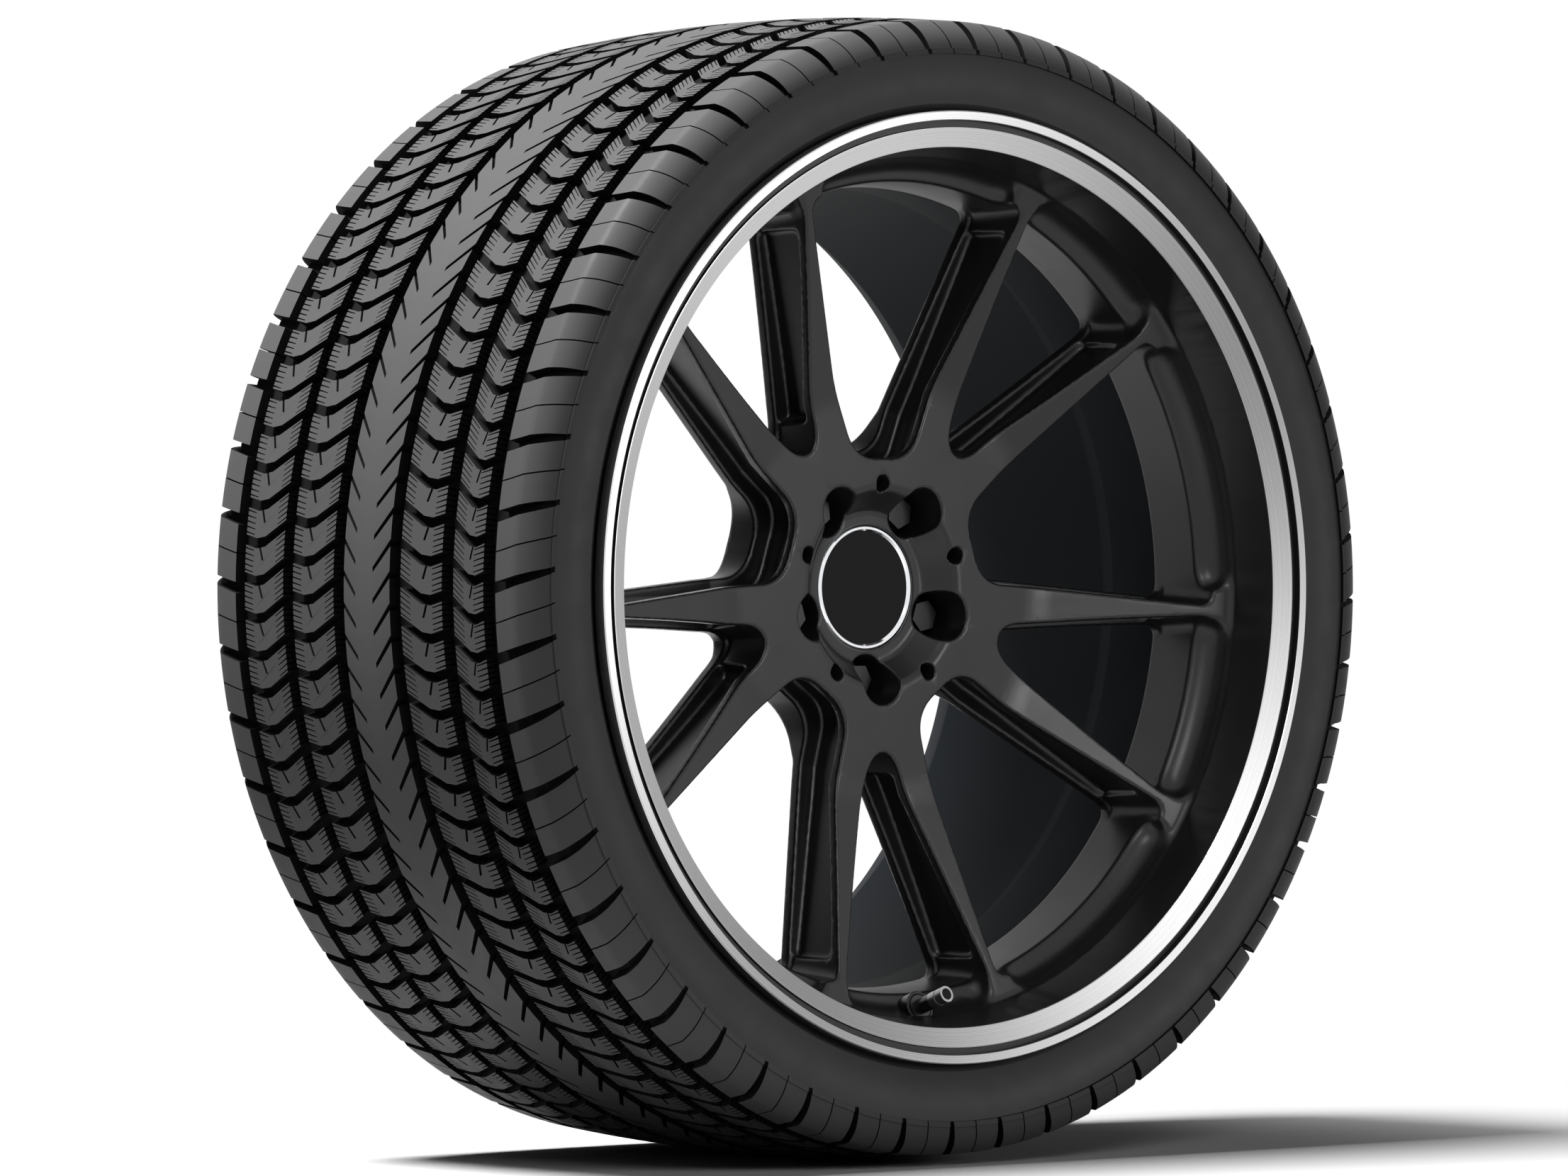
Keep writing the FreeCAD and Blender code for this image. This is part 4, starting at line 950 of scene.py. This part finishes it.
def white_world():
    world = bpy.data.worlds.new("studio")
    bpy.context.scene.world = world
    world.use_nodes = True
    nodes, links = world.node_tree.nodes, world.node_tree.links
    background = nodes["Background"]
    background.inputs["Color"].default_value = (1, 1, 1, 1)
    path = nodes.new("ShaderNodeLightPath")
    seen = nodes.new("ShaderNodeMath")
    seen.operation = "ADD"
    links.new(path.outputs["Is Camera Ray"], seen.inputs[0])
    links.new(path.outputs["Is Glossy Ray"], seen.inputs[1])
    through = nodes.new("ShaderNodeMath")
    through.operation = "ADD"
    through.use_clamp = True
    links.new(seen.outputs[0], through.inputs[0])
    links.new(path.outputs["Is Transmission Ray"], through.inputs[1])
    level = nodes.new("ShaderNodeMapRange")
    level.inputs["To Min"].default_value = FILL_LIGHT
    links.new(through.outputs[0], level.inputs["Value"])
    links.new(level.outputs["Result"], background.inputs["Strength"])


white_world()
print("world: white to look at, fill light", FILL_LIGHT)

# %% Floor
FLOOR_RADIUS, FLOOR_CORNERS, FLOOR_GAP = 3000.0, 96, 0.5
FADE_FROM, FADE_TO = 0.45, 1.1


def fade_out(near, far):
    """A group that gives 1 inside a distance from the origin and falls to 0 at a larger one."""
    group = bpy.data.node_groups.new("fade_out", "ShaderNodeTree")
    group.interface.new_socket("Fade", in_out="OUTPUT", socket_type="NodeSocketFloat")
    place = group.nodes.new("ShaderNodeTexCoord")
    length = group.nodes.new("ShaderNodeVectorMath")
    length.operation = "LENGTH"
    fall = group.nodes.new("ShaderNodeMapRange")
    fall.interpolation_type = "SMOOTHSTEP"
    fall.inputs["From Min"].default_value = near
    fall.inputs["From Max"].default_value = far
    fall.inputs["To Min"].default_value = 1
    fall.inputs["To Max"].default_value = 0
    result = group.nodes.new("NodeGroupOutput")
    group.links.new(place.outputs["Object"], length.inputs[0])
    group.links.new(length.outputs["Value"], fall.inputs["Value"])
    group.links.new(fall.outputs["Result"], result.inputs["Fade"])
    return group


floor_store = Pieces()
angles = np.arange(FLOOR_CORNERS) * FULL_TURN / FLOOR_CORNERS
edge = around(FLOOR_RADIUS, angles, 0.0)[::-1][:, [0, 2, 1]] - [0, 0, CROWN_RADIUS + FLOOR_GAP]
floor_store.add(edge, [list(range(FLOOR_CORNERS))])
floor_pale = material("floor_pale", (0.45, 0.45, 0.45), 0.9, Specular_IOR_Level=0.0)
use_group(floor_pale, fade_out(FADE_FROM, FADE_TO), Fade="Alpha")
floor = floor_store.make("floor", floor_pale)
print("floor: radius", FLOOR_RADIUS, "mm, fading from", FADE_FROM, "to", FADE_TO, "m")

# %% [markdown]
# ## Lamps
# One soft lamp above and to the left models the tread, and a weaker one in front opens the spokes.
# A small one at the right puts the bright band on the bend of the spokes. Area lamps keep every shadow soft.

# %% Lamps


def lamp(name, place, size, power):
    light = bpy.data.lights.new(name, "AREA")
    light.shape = "DISK"
    light.size = size
    light.energy = power
    holder = bpy.data.objects.new(name, light)
    holder.location = place
    holder.rotation_euler = (-holder.location).to_track_quat("-Z", "Y").to_euler()
    bpy.context.collection.objects.link(holder)


lamp("top_soft", (-1.3, 0.3, 2.7), 1.2, 380)
lamp("front_soft", (-1.6, -2.9, 1.9), 1.4, 30)
lamp("right_strip", (1.6, -3.4, 0.5), 0.8, 25)

print("lamps:", len(bpy.data.lights))

# %% [markdown]
# ## Camera
# The picture was taken from far off with a long lens, level with the hub, so near and far look alike in size.
# The lens comes from a focal length in pixels, which makes the frame the same at any size of render.

# %% Camera
VIEW_ANGLE, DISTANCE, FOCAL_PX = math.radians(41.44), 5.5, 12707
SHIFT_RIGHT, SHIFT_UP = 0.008, 0.0003
PHOTO_WIDTH, SENSOR = 2212, 36.0
lens = bpy.data.cameras.new("camera")
lens.sensor_width = SENSOR
lens.lens = SENSOR * FOCAL_PX / PHOTO_WIDTH
lens.clip_end = 50
camera = bpy.data.objects.new("camera", lens)
sin, cos = math.sin(VIEW_ANGLE), math.cos(VIEW_ANGLE)
camera.location = (-DISTANCE * sin - SHIFT_RIGHT * cos, -DISTANCE * cos + SHIFT_RIGHT * sin, -SHIFT_UP)
camera.rotation_euler = (math.pi / 2, 0, -VIEW_ANGLE)
bpy.context.collection.objects.link(camera)
bpy.context.scene.camera = camera
bpy.context.scene.view_settings.view_transform = "Standard"
print("camera: lens", round(lens.lens, 1), "mm at", DISTANCE, "m")
